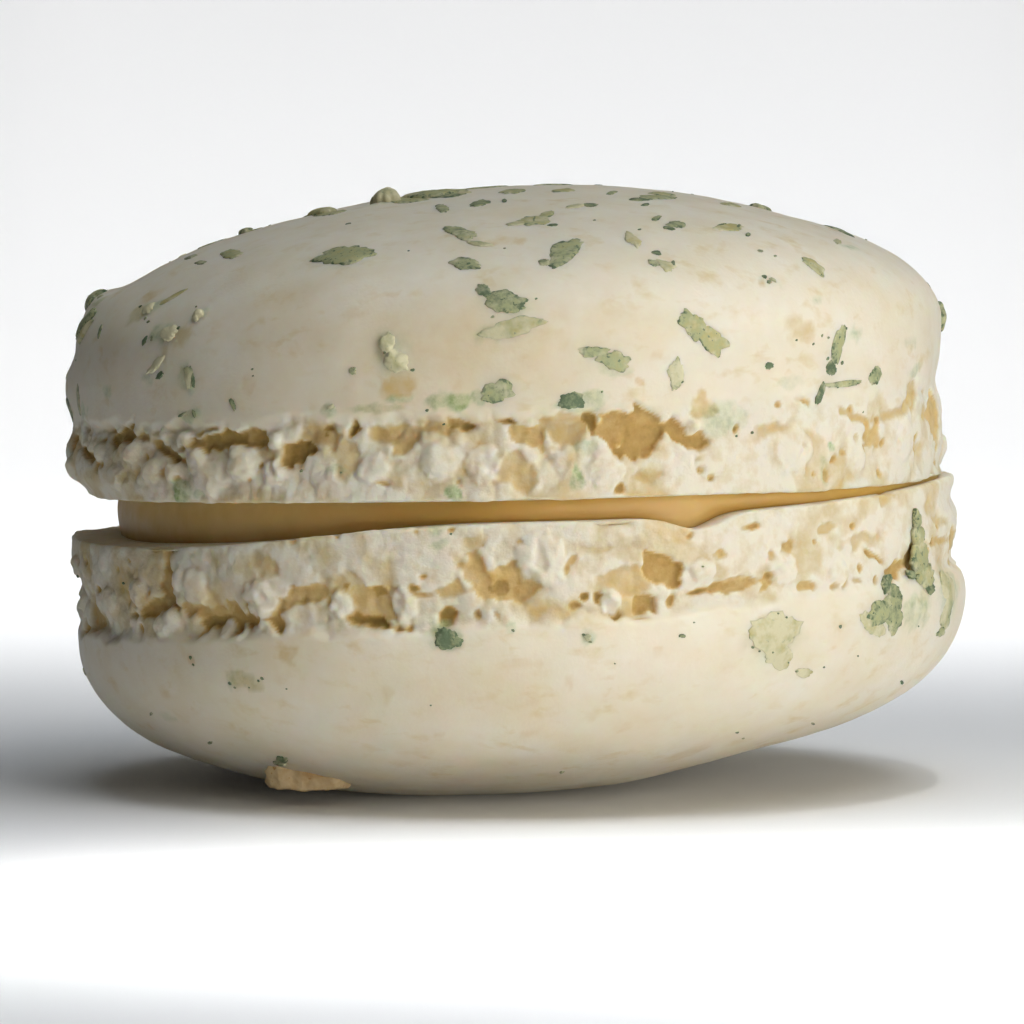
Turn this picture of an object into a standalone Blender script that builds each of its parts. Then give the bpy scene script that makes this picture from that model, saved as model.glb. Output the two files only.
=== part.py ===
"""French macaron: two almond meringue shells with ruffled feet and a cream filling between them.

Each shell is turned from a profile about its own axis, its foot and skin are made uneven, and it is
set at the lean that it has in the finished biscuit. The biscuit stands on the crown of its lower
shell, which is worn flat there. Metres, +Z up, the front towards -Y. The origin lies on the surface
that the biscuit stands on, under the middle of its width. Bearings are in degrees about +Z, with 0
at +X (the right-hand side) and -90 at the front.
"""

import math
from dataclasses import dataclass

import bmesh
import bpy
from mathutils import Matrix, Vector

COLUMNS = 84  # points round each turned piece
DOME_STEPS = 10  # rings between a shell's shoulder and its crown
FOOT_STEPS = 6  # rings on the bulge of a foot
LEAST = 1e-6  # points closer than this are one point

CUP_RADIUS = 0.0178  # of the shallow hollow that the filling sits in
CUP_DEPTH = 0.0007
CUP_SLOPE = 0.0003  # how far the hollow's wall leans inwards
RIM_ROUND = 0.0008  # radius of the foot's outer edge at the rim
CREASE_DEPTH = 0.0006  # how far the crease between skin and foot goes in
LIP_HEIGHT = 0.0008  # from the crease up to where the skin is at its full radius

FACE_GAP = 0.0003  # kept between the filling and the shells
FILLING_CENTRE = -0.00035  # along X
FILLING_RADIUS = 0.0172
FILLING_BULGE = 0.0002  # how far the filling's edge swells at half its height

# Lobes round a foot, as (number per turn, depth, phase in radians).
RUFFLES = ((7, 0.00012, 0.7), (13, 0.00013, 1.9), (19, 0.00010, 4.0))
# The slight out-of-roundness of a skin, in the same form.
SKIN_WAVES = ((2, 0.00010, 0.4), (3, 0.00010, 2.2), (5, 0.00006, 5.1))
# The slight waviness of a rim, in the same form.
RIM_WAVES = ((3, 0.00005, 1.1), (8, 0.00006, 0.3))


@dataclass
class Shell:
    """One meringue shell. Its own frame has the rim plane at height 0 and the crown at full height."""

    name: str
    up: int  # 1 when the crown is above the rim, -1 when it is below
    centre: tuple  # of the rim plane, in the biscuit's frame
    lean: float  # degrees about +Y that the shell's axis stands off vertical
    skin_radius: float
    skin_offset: float  # of the skin from the foot's middle, towards +X
    foot_radius: float
    height: float
    shoulder: float  # height at which the skin is widest
    fullness: float  # 2 for a dome that is half an ellipse, more for a squarer one
    foot_height: float
    rake: float  # how much further down the rim is for each metre towards +X
    hollows: tuple  # gaps in the crease: (bearing, half width in degrees, depth in metres)
    swells: tuple  # high stretches of the rim, in the same form
    colour: tuple


TOP_SHELL = Shell(
    name="top_shell",
    up=1,
    centre=(-0.00051, 0, 0.01333),
    lean=-3.7,
    skin_radius=0.01930,
    skin_offset=0.00030,
    foot_radius=0.01935,
    height=0.01294,
    shoulder=0.00630,
    fullness=2.0,
    foot_height=0.00340,
    rake=0.042,
    hollows=(
        (-131, 6, 0.0007),
        (-121, 4, 0.0011),
        (-96, 6, 0.0006),
        (-75, 5, 0.0012),
        (-65, 4, 0.0008),
        (-20, 5, 0.0005),
        (24, 6, 0.0008),
        (58, 7, 0.0010),
        (97, 5, 0.0009),
        (133, 7, 0.0007),
        (168, 5, 0.0010),
    ),
    swells=(),
    colour=(0.80, 0.74, 0.61, 1),
)

BOTTOM_SHELL = Shell(
    name="bottom_shell",
    up=-1,
    centre=(-0.00016, 0, 0.01211),
    lean=-4.1,
    skin_radius=0.01965,
    skin_offset=0.00005,
    foot_radius=0.01950,
    height=0.01228,
    shoulder=0.00440,
    fullness=2.2,
    foot_height=0.00365,
    rake=0.0,
    hollows=(
        (-141, 5, 0.0008),
        (-128, 5, 0.0011),
        (-109, 6, 0.0008),
        (-90, 5, 0.0010),
        (-70, 4, 0.0011),
        (-56, 5, 0.0006),
        (-27, 4, 0.0008),
        (12, 6, 0.0007),
        (47, 6, 0.0010),
        (82, 7, 0.0008),
        (121, 5, 0.0011),
        (156, 6, 0.0007),
    ),
    swells=((-99, 20, 0.0004), (38, 22, 0.0003), (140, 18, 0.0002)),
    colour=(0.80, 0.74, 0.61, 1),
)

FILLING_COLOUR = (0.62, 0.43, 0.20, 1)


def clear_scene():
    for obj in list(bpy.data.objects):
        bpy.data.objects.remove(obj)


def waves(bearing, lobes):
    """The sum of sine lobes round a turn."""
    return sum(depth * math.sin(count * bearing + phase) for count, depth, phase in lobes)


def shell_profile(shell):
    """(radius, height) from the middle of the hollow face, round the foot, to the crown."""
    crease = shell.skin_radius - CREASE_DEPTH
    points = [(0, CUP_DEPTH), (CUP_RADIUS - CUP_SLOPE, CUP_DEPTH), (CUP_RADIUS, 0)]
    points.append((shell.foot_radius - RIM_ROUND, 0))
    for step in range(1, FOOT_STEPS + 1):
        turn = math.pi * step / (FOOT_STEPS + 1)
        # A half round, square-shouldered, from the rim to the crease.
        out = math.sin(turn) ** 0.45
        rise = (1 - math.cos(turn)) / 2
        inner = crease + (shell.foot_radius - RIM_ROUND - crease) * (1 - rise)
        points.append((inner + (shell.foot_radius - inner) * out, shell.foot_height * rise))
    points.append((crease, shell.foot_height))
    points.append((shell.skin_radius - 0.3 * CREASE_DEPTH, shell.foot_height + 0.45 * LIP_HEIGHT))
    points.append((shell.skin_radius, shell.foot_height + LIP_HEIGHT))
    for step in range(DOME_STEPS + 1):
        turn = math.pi / 2 * step / DOME_STEPS
        rise = (shell.height - shell.shoulder) * math.sin(turn) ** (2 / shell.fullness)
        radius = shell.skin_radius * abs(math.cos(turn)) ** (2 / shell.fullness)
        points.append((radius, shell.shoulder + rise))
    return points


def turn_profile(profile):
    """A closed solid of revolution about Z from (radius, height) points that start and end on the axis."""
    bm = bmesh.new()
    verts = [bm.verts.new((radius, 0, height)) for radius, height in profile]
    edges = [bm.edges.new(pair) for pair in zip(verts, verts[1:])]
    bmesh.ops.spin(
        bm, geom=verts + edges, cent=(0, 0, 0), axis=(0, 0, 1), angle=2 * math.pi, steps=COLUMNS
    )
    bmesh.ops.remove_doubles(bm, verts=bm.verts, dist=LEAST)
    return bm


def bumps(bearing, places):
    """The sum of smooth bumps round a turn, each as (bearing, half width in degrees, size)."""
    total = 0
    for middle, half_width, size in places:
        off = math.remainder(bearing - math.radians(middle), 2 * math.pi)
        total += size * math.exp(-((off / math.radians(half_width)) ** 2))
    return total


def make_uneven(shell, bm):
    """Ruffles the foot, opens the gaps in the crease and takes the skin slightly out of round."""
    for vert in bm.verts:
        radius = math.hypot(vert.co.x, vert.co.y)
        height = vert.co.z
        bearing = math.atan2(vert.co.y, vert.co.x)
        share = height / shell.foot_height
        outside = radius > CUP_RADIUS + LEAST
        shift = 0
        if outside and share < 1:
            shift += waves(bearing, RUFFLES) * math.sin(math.pi * max(share, 0.15)) ** 0.5
        if outside:
            above = (height - shell.foot_height) / (0.4 * shell.foot_height)
            shift -= bumps(bearing, shell.hollows) * math.exp(-(above**2))
        if share >= 1:
            shift += waves(bearing, SKIN_WAVES) * radius / shell.skin_radius
        if radius > LEAST:
            vert.co.x += shift * vert.co.x / radius
            vert.co.y += shift * vert.co.y / radius
        # The rake runs out at the shoulder, where the skin's offset is whole.
        rise = min(max(height, 0) / shell.shoulder, 1)
        vert.co.z -= shell.rake * vert.co.x * (1 - rise)
        vert.co.x += shell.skin_offset * rise
        if outside and share < 1:
            rim = waves(bearing, RIM_WAVES) + bumps(bearing, shell.swells)
            vert.co.z -= rim * (1 - max(share, 0))


def rest_plane(shell):
    """The standing surface as (point, normal) in the shell's own frame."""
    back = shell_placement(shell).inverted()
    return back @ Vector((0, 0, 0)), (back.to_3x3() @ Vector((0, 0, -1))).normalized()


def flatten_crown(shell, bm):
    """Wears the crown of the lower shell flat where it stands."""
    point, normal = rest_plane(shell)
    everything = bm.verts[:] + bm.edges[:] + bm.faces[:]
    cut = bmesh.ops.bisect_plane(
        bm, geom=everything, dist=LEAST, plane_co=point, plane_no=normal, clear_outer=True
    )
    rim = [edge for edge in cut["geom_cut"] if isinstance(edge, bmesh.types.BMEdge)]
    bmesh.ops.contextual_create(bm, geom=rim)


def shell_placement(shell):
    """Turns the shell's own frame, whose crown is at +Z, into the biscuit's frame."""
    lean = Matrix.Rotation(math.radians(shell.lean), 4, "Y")
    return Matrix.Translation(shell.centre) @ lean @ Matrix.Diagonal((1, 1, shell.up, 1))


def food_material(name, colour, roughness):
    material = bpy.data.materials.new(name)
    material.use_nodes = True
    surface = material.node_tree.nodes["Principled BSDF"]
    surface.inputs["Base Color"].default_value = colour
    surface.inputs["Roughness"].default_value = roughness
    surface.inputs["Metallic"].default_value = 0
    return material


def add_object(name, bm, material):
    """A smooth-shaded object in the scene, with its faces pointing out."""
    bmesh.ops.recalc_face_normals(bm, faces=bm.faces)
    mesh = bpy.data.meshes.new(name)
    bm.to_mesh(mesh)
    bm.free()
    mesh.materials.append(material)
    mesh.shade_smooth()
    mesh.set_sharp_from_angle(angle=math.radians(50))
    obj = bpy.data.objects.new(name, mesh)
    bpy.context.scene.collection.objects.link(obj)
    return obj


def build_shell(shell, material):
    bm = turn_profile(shell_profile(shell))
    make_uneven(shell, bm)
    if shell.up < 0:
        flatten_crown(shell, bm)
    bmesh.ops.transform(bm, matrix=Matrix.Diagonal((1, 1, shell.up, 1)), verts=bm.verts)
    obj = add_object(shell.name, bm, material)
    obj.location = shell.centre
    obj.rotation_euler = (0, math.radians(shell.lean), 0)
    return obj


def face_height(shell, x):
    """Height, in the biscuit's frame, of the bottom of a shell's hollow face at this x."""
    slope = math.tan(math.radians(-shell.lean)) - shell.up * shell.rake
    return shell.centre[2] + shell.up * CUP_DEPTH + slope * (x - shell.centre[0])


def filling_profile():
    """(radius, height share) of the filling's section, from the middle below to the middle above."""
    edge = []
    for share in (0, 0.2, 0.5, 0.8, 1):
        swell = FILLING_BULGE * (1 - (2 * share - 1) ** 2)
        edge.append((FILLING_RADIUS - FILLING_BULGE + swell, share))
    return [(0, 0), *edge, (0, 1)]


def build_filling(material):
    """A disc of cream that fills the two hollows, thick on the left and thin on the right."""
    scale = 0.01  # the section is turned at this height for a share of 1
    bm = turn_profile([(radius, share * scale) for radius, share in filling_profile()])
    for vert in bm.verts:
        vert.co.x += FILLING_CENTRE
        share = vert.co.z / scale
        low = face_height(BOTTOM_SHELL, vert.co.x) + FACE_GAP
        high = face_height(TOP_SHELL, vert.co.x) - FACE_GAP
        vert.co.z = low + (high - low) * share
    return add_object("filling", bm, material)


def main():
    clear_scene()
    for shell in (TOP_SHELL, BOTTOM_SHELL):
        build_shell(shell, food_material(shell.name, shell.colour, 0.6))
    build_filling(food_material("filling", FILLING_COLOUR, 0.45))


main()
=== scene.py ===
"""The looks of a french macaron, laid out as an add-on with one operator for each piece.

Two almond meringue shells, with smooth skins and crumbed, cavernous feet, a cream filling between
them, and dried herb flakes on and in the skins. Shapes are worked out in millimetres in each shell's
own frame: the foot's rim in the plane of height 0, the crown at the top, bearings in degrees about
the axis with 0 to the right and -90 at the front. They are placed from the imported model's boxes.
"""

import math
from dataclasses import dataclass

import bpy
import numpy as np
from bpy.props import FloatProperty, FloatVectorProperty, IntProperty, PointerProperty
from bpy.types import Operator, Panel, PropertyGroup
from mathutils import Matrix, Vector


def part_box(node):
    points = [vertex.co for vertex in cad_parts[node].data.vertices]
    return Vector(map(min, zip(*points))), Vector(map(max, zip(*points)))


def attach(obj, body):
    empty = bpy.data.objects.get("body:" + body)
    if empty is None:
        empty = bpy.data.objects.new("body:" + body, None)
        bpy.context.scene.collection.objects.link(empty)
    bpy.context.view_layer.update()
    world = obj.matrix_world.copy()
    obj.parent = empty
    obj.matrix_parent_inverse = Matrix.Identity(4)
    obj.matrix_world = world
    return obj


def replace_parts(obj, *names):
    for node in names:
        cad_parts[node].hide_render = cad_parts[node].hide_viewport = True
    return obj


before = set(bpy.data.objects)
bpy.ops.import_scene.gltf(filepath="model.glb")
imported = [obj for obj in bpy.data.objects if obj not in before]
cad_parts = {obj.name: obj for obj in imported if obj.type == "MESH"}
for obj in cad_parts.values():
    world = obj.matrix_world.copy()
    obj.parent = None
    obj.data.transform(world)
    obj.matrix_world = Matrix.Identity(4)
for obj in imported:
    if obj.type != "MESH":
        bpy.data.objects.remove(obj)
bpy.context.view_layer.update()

bl_info = {
    "name": "French macaron",
    "version": (1, 0, 0),
    "blender": (4, 5, 0),
    "location": "View3D > Sidebar > Macaron",
    "description": "Builds a filled macaron with ruffled feet and herb flakes round its packed model",
    "category": "Add Mesh",
}

MM = 0.001
BODY = "root"


# Noise ------------------------------------------------------------------------------------------


def hashed(i, j, k, seed):
    """A fixed number from 0 to 1 for each whole-numbered place: the three numbers and the seed are
    multiplied by large odd numbers, mixed by shifts, and cut to their last 24 bits."""
    n = (i * 73856093) ^ (j * 19349663) ^ (k * 83492791) ^ (seed * 1013904223)
    n = n & 0xFFFFFFFF
    n = ((n ^ (n >> 16)) * 0x45D9F3B) & 0xFFFFFFFF
    n = ((n ^ (n >> 16)) * 0x45D9F3B) & 0xFFFFFFFF
    return ((n ^ (n >> 16)) & 0xFFFFFF) / 0x1000000


EDGES = np.array(
    [(1, 1, 0), (-1, 1, 0), (1, -1, 0), (-1, -1, 0), (1, 0, 1), (-1, 0, 1)]
    + [(1, 0, -1), (-1, 0, -1), (0, 1, 1), (0, -1, 1), (0, 1, -1), (0, -1, -1)],
    float,
)


def noise(points, size, seed):
    """Smooth noise from about -1 to 1 with bumps of this size: at each corner of a cube lattice a
    hashed direction is dotted with the way to the point, and the eight are blended with the quintic
    6t^5 - 15t^4 + 10t^3."""
    p = points / size
    cell = np.floor(p)
    t = p - cell
    cell = cell.astype(np.int64)
    blend = t * t * t * (t * (t * 6 - 15) + 10)
    total = 0
    for a in (0, 1):
        for b in (0, 1):
            for c in (0, 1):
                corner = hashed(cell[..., 0] + a, cell[..., 1] + b, cell[..., 2] + c, seed)
                slope = EDGES[(corner * 12).astype(int)]
                value = (slope * (t - (a, b, c))).sum(-1)
                share = np.where(a, blend[..., 0], 1 - blend[..., 0])
                share = share * np.where(b, blend[..., 1], 1 - blend[..., 1])
                share = share * np.where(c, blend[..., 2], 1 - blend[..., 2])
                total = total + value * share
    return total


def layered(points, size, seed, layers=3, gain=0.5):
    """Noise added in layers, each half the size of the last and weaker by the gain."""
    total = 0
    for layer in range(layers):
        total = total + gain**layer * noise(points, size / 2**layer, seed + layer)
    return total


def lumps(points, size, seed, softness=0.12):
    """Rounded lumps packed side by side, 0 at their tops and down to about -0.5 in the valleys: of the
    points scattered one to each cube of this size, the greatest of minus the squared distances, each a
    share of the size, blended as log(sum(exp(-d^2 / softness))) * softness so that valleys are round."""
    p = points / size
    cell = np.floor(p).astype(np.int64)
    t = p - cell
    total = np.zeros(points.shape[:-1])
    for a in (-1, 0, 1):
        for b in (-1, 0, 1):
            for c in (-1, 0, 1):
                i, j, k = cell[..., 0] + a, cell[..., 1] + b, cell[..., 2] + c
                dx = a + hashed(i, j, k, seed) - t[..., 0]
                dy = b + hashed(i, j, k, seed + 1) - t[..., 1]
                dz = c + hashed(i, j, k, seed + 2) - t[..., 2]
                total += np.exp(-(dx * dx + dy * dy + dz * dz) / softness)
    return softness * np.log(total)


def smooth(x, low, high):
    """0 below low and 1 above high, with 3t^2 - 2t^3 between."""
    t = np.clip((x - low) / (high - low), 0, 1)
    return t * t * (3 - 2 * t)


# The shells -------------------------------------------------------------------------------------


@dataclass
class Shell:
    """One shell's form in millimetres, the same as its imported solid's."""

    node: str
    up: int  # 1 with the crown above the rim, -1 below
    centre: tuple  # of the rim plane
    lean: float  # degrees of the axis about +Y
    skin_radius: float
    skin_offset: float
    foot_radius: float
    height: float
    shoulder: float
    fullness: float
    foot_height: float
    rake: float
    seam: float  # height where the crumbed band ends and the plain skin goes on
    swells: tuple  # high stretches of the rim: (bearing, half width in degrees, height)
    tucks: tuple  # where the rim turns in: (bearing, half width in degrees, height reached, mm in)
    waves: tuple  # (bearing, half width in degrees, way up, half length, mm out)
    knobs: tuple  # round crumbs on the foot: (bearing, height, radius, mm out)
    seed: int


def node_box(node):
    """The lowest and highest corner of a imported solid, in millimetres."""
    low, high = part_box(node)
    return np.array(low) / MM, np.array(high) / MM


def top_shell():
    low, high = node_box("top_shell")
    return Shell(
        node="top_shell",
        up=1,
        centre=((low[0] + high[0]) / 2 - 0.03, 0, low[2] + 0.44),
        lean=-3.7,
        skin_radius=19.30,
        skin_offset=0.30,
        foot_radius=19.35,
        height=12.94,
        shoulder=6.30,
        fullness=2.0,
        foot_height=3.40,
        rake=0.042,
        seam=5.0,
        swells=((-20, 50, 0.10), (-150, 16, 0.12)),
        tucks=((180, 32, 0.75, 1.0), (150, 20, 0.5, 0.4)),
        waves=(
            (180, 16, 1.2, 0.4, -0.22),
            (178, 16, 3.6, 0.8, -0.42),
            (180, 18, 6.9, 0.9, -0.45),
            (180, 14, 9.6, 0.9, 0.50),
            (168, 26, 18, 3.0, -0.28),
            (-135, 4, 21.4, 0.7, 0.25),
            (0, 16, 0.5, 0.4, -0.20),
            (0, 18, 3.6, 0.7, -0.24),
            (-4, 9, 6.0, 1.0, 0.16),
            (0, 42, 14, 5.0, -0.36),
            (40, 20, 3.8, 0.8, -0.30),
            (75, 18, 1.0, 0.7, 0.25),
            (110, 22, 3.4, 0.8, -0.30),
            (140, 16, 6.5, 1.2, 0.25),
        ),
        knobs=(
            (-138.0, 3.1, 0.32, 0.26),
            (-134.0, 2.9, 0.42, 0.34),
            (-131.2, 1.9, 0.60, 0.30),
            (-144.6, 2.4, 0.62, 0.34),
            (-123.8, 1.8, 0.80, 0.42),
            (-119.3, 2.7, 0.42, 0.36),
            (-119.4, 1.3, 0.58, 0.26),
            (-140.0, 1.5, 0.55, 0.30),
            (-149.6, 1.0, 0.65, 0.28),
            (-154.2, 2.2, 0.50, 0.26),
            (-136.0, 1.4, 0.50, 0.20),
            (-129.0, 1.1, 0.80, 0.22),
            (-106.0, 1.4, 0.70, 0.26),
            (-98.0, 1.6, 0.75, 0.26),
            (-92.5, 1.5, 0.80, 0.24),
            (-77.5, 1.1, 0.80, 0.26),
            (-66.5, 2.6, 0.34, 0.30),
            (-64.0, 1.3, 0.70, 0.20),
            (-52.0, 1.6, 1.00, 0.20),
            (-41.0, 1.3, 0.80, 0.18),
            (-29.0, 1.7, 0.80, 0.20),
        ),
        seed=100,
    )


def bottom_shell():
    low, high = node_box("bottom_shell")
    return Shell(
        node="bottom_shell",
        up=-1,
        centre=((low[0] + high[0]) / 2 - 0.39, 0, high[2] - 1.49),
        lean=-4.1,
        skin_radius=19.65,
        skin_offset=0.05,
        foot_radius=19.50,
        height=12.28,
        shoulder=4.40,
        fullness=2.2,
        foot_height=3.65,
        rake=0.0,
        seam=5.2,
        swells=(
            (-99, 20, 0.40),
            (38, 22, 0.30),
            (140, 18, 0.20),
            (-10, 25, 0.15),
            (180, 16, 0.30),
            (-67, 4, -0.55),
        ),
        tucks=((100, 25, 0.5, 0.35), (20, 14, 0.5, 0.3)),
        waves=(
            (0, 16, 0.8, 0.5, -0.32),
            (0, 18, 3.6, 0.6, -0.28),
            (0, 30, 9.0, 2.6, 0.28),
            (-12, 44, 17.5, 3.5, -0.38),
            (180, 16, 2.1, 0.5, -0.28),
            (180, 16, 0.9, 0.5, 0.10),
            (50, 20, 1.0, 0.6, 0.30),
            (85, 22, 3.5, 0.8, -0.30),
            (130, 18, 2.2, 0.7, -0.28),
        ),
        knobs=(
            (-145.5, 1.9, 0.58, 0.30),
            (-136.1, 1.4, 0.50, 0.26),
            (-133.5, 1.7, 0.80, 0.30),
            (-123.1, 2.3, 0.85, 0.34),
            (-138.5, 2.9, 0.50, 0.30),
            (-140.6, 3.3, 0.50, 0.26),
            (-129.3, 3.4, 0.40, 0.24),
            (-126.6, 3.5, 0.34, 0.24),
            (-154.0, 0.6, 0.50, 0.16),
            (-153.5, 2.3, 0.60, 0.24),
            (-112.0, 2.6, 0.55, 0.28),
            (-104.0, 2.8, 0.60, 0.30),
            (-87.0, 1.4, 1.10, 0.26),
            (-79.0, 3.2, 0.50, 0.28),
            (-67.0, 2.0, 0.60, 0.24),
            (-56.0, 2.4, 0.80, 0.20),
            (-47.0, 3.0, 0.60, 0.18),
            (-36.0, 2.0, 0.70, 0.16),
        ),
        seed=500,
    )


def bumps(bearing, places):
    """The sum of bell-shaped bumps round a turn, each (bearing, half width in degrees, size)."""
    total = np.zeros_like(bearing)
    for middle, half_width, size in places:
        off = (bearing - math.radians(middle) + math.pi) % (2 * math.pi) - math.pi
        total += size * np.exp(-((off / math.radians(half_width)) ** 2))
    return total


def place(shell, local):
    """Points in the shell's own frame (x, y, height) to the biscuit's: the rake lowers the rim towards
    +X below the shoulder, then the crown's side is chosen, the axis leaned and the centre added."""
    x, y, h = local[..., 0], local[..., 1], local[..., 2]
    rise = np.clip(h / shell.shoulder, 0, 1)
    h = h - shell.rake * x * (1 - rise)
    bearing = np.arctan2(y, x)
    share = np.clip(h / shell.foot_height, 0, 1)
    outside = smooth(np.hypot(x, y), shell.foot_radius - 3.5, shell.foot_radius - 1.5)
    h = h - bumps(bearing, shell.swells) * (1 - share) * outside
    x = x + shell.skin_offset * rise
    h = h * shell.up
    lean = math.radians(shell.lean)
    return np.stack(
        [
            shell.centre[0] + x * math.cos(lean) + h * math.sin(lean),
            shell.centre[1] + y,
            shell.centre[2] - x * math.sin(lean) + h * math.cos(lean),
        ],
        -1,
    )


def meridian(shell, start):
    """(radius, height) of the plain skin from a height up to the crown, closely spaced: upright below
    the shoulder, above it a quarter of a superellipse."""
    wall = np.linspace(start, shell.shoulder, 40)[:-1] if start < shell.shoulder else np.zeros(0)
    rise = shell.height - shell.shoulder
    turn = np.linspace(0, math.pi / 2, 400)
    radius = shell.skin_radius * np.abs(np.cos(turn)) ** (2 / shell.fullness)
    height = shell.shoulder + rise * np.sin(turn) ** (2 / shell.fullness)
    keep = height >= start - 1e-9
    radius = np.concatenate([np.full(len(wall), shell.skin_radius), radius[keep]])
    height = np.concatenate([wall, height[keep]])
    return np.stack([radius, height], -1)


def spaced(path, places):
    """Points along a (radius, height) path at these shares of its length."""
    steps = np.hypot(*np.diff(path, axis=0).T)
    length = np.concatenate([[0], np.cumsum(steps)])
    at = np.asarray(places) * length[-1]
    return np.stack([np.interp(at, length, path[:, 0]), np.interp(at, length, path[:, 1])], -1)


def path_normals(path):
    """Unit normals of a (radius, height) path, to the right of the way along it."""
    way = np.gradient(path, axis=0)
    way /= np.linalg.norm(way, axis=1, keepdims=True) + 1e-12
    return np.stack([way[:, 1], -way[:, 0]], -1)


def turned(path, columns):
    """Grid of points (column, ring) with the path carried round the axis, and the bearings."""
    bearing = np.radians(np.arange(columns) * 360 / columns - 180)[:, None]
    r, h = path[None, :, 0], path[None, :, 1]
    grid = np.stack([r * np.cos(bearing), r * np.sin(bearing), h + 0 * bearing], -1)
    return grid, bearing


def outward(normals, bearing):
    """Path normals carried round the axis with the grid."""
    nr, nh = normals[None, :, 0], normals[None, :, 1]
    return np.stack([nr * np.cos(bearing), nr * np.sin(bearing), nh + 0 * bearing], -1)


def skin_relief(shell, points):
    """How far the skin stands out, in mm: broad noise, slight dimples, the shell's own waves, each a
    bell over bearing and way up, and the swells over buried flakes."""
    shifted = points + (0, 0, shell.seed)
    relief = 0.16 * noise(shifted, 9.0, 1) + 0.07 * noise(shifted, 3.6, 2)
    relief = relief + 0.018 * layered(shifted, 1.4, 3, 2) + stained_and_painted_light(shell, points)[2]
    bearing = np.arctan2(points[..., 1], points[..., 0])
    way = way_up(shell, points)
    for middle, wide, at, tall, size in shell.waves:
        relief = relief + bumps(bearing, [(middle, wide, size)]) * np.exp(-(((way - at) / tall) ** 2))
    return relief


def skin_key(shell, radius, height):
    """A number that grows up the meridian: the height below the shoulder, counted from it, and above
    it the angle seen from the axis at the shoulder's height."""
    rise = height - shell.shoulder
    return np.where(rise < 0, rise, np.arctan2(rise, radius))


def skin_table(shell):
    """Columns for looking up the plain skin: key, way, radius, height, normal's radius and height."""
    path = meridian(shell, 0)
    way = np.concatenate([[0], np.cumsum(np.hypot(*np.diff(path, axis=0).T))])
    key = skin_key(shell, path[:, 0], path[:, 1])
    return np.column_stack([key, way, path, path_normals(path)])


def way_up(shell, points):
    """The length along the meridian from the rim's height up to each point's place on the skin."""
    table = skin_table(shell)
    radius = np.hypot(points[..., 0], points[..., 1])
    return np.interp(skin_key(shell, radius, points[..., 2]), table[:, 0], table[:, 1])


def on_skin(shell, points, lift):
    """Points carried straight towards the axis at the shoulder, or level below it, on to the skin, and
    then out along its normal by its relief and this lift."""
    table = skin_table(shell)
    radius = np.hypot(points[..., 0], points[..., 1]) + 1e-9
    key = skin_key(shell, radius, points[..., 2])
    r, h, nr, nh = (np.interp(key, table[:, 0], table[:, c]) for c in (2, 3, 4, 5))
    unit = points[..., :2] / radius[..., None]
    base = np.concatenate([unit * r[..., None], h[..., None]], -1)
    normal = np.concatenate([unit * nr[..., None], nh[..., None]], -1)
    return base + normal * (skin_relief(shell, base) + lift)[..., None]


# Flakes and stains ------------------------------------------------------------------------------


@dataclass
class Fleck:
    """A flake of herb on the skin: half lengths in mm along the rim and up the meridian."""

    bearing: float
    way: float  # mm up the meridian from the rim's height
    wide: float
    tall: float
    turn: float  # degrees
    tone: float  # 0 dark green, 0.5 grey green, 1 olive tan
    veil: float = 0.0  # share of meringue film over it
    lift: float = 0.06


@dataclass
class Stain:
    """A soft patch of the skin where something shows through it. The broadest ochre patches are painted shade on the
    left and painted warm light at the front instead.
    """

    bearing: float
    way: float
    wide: float
    tall: float
    turn: float
    green: float
    ochre: float
    raised: float = 0.0


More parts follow.
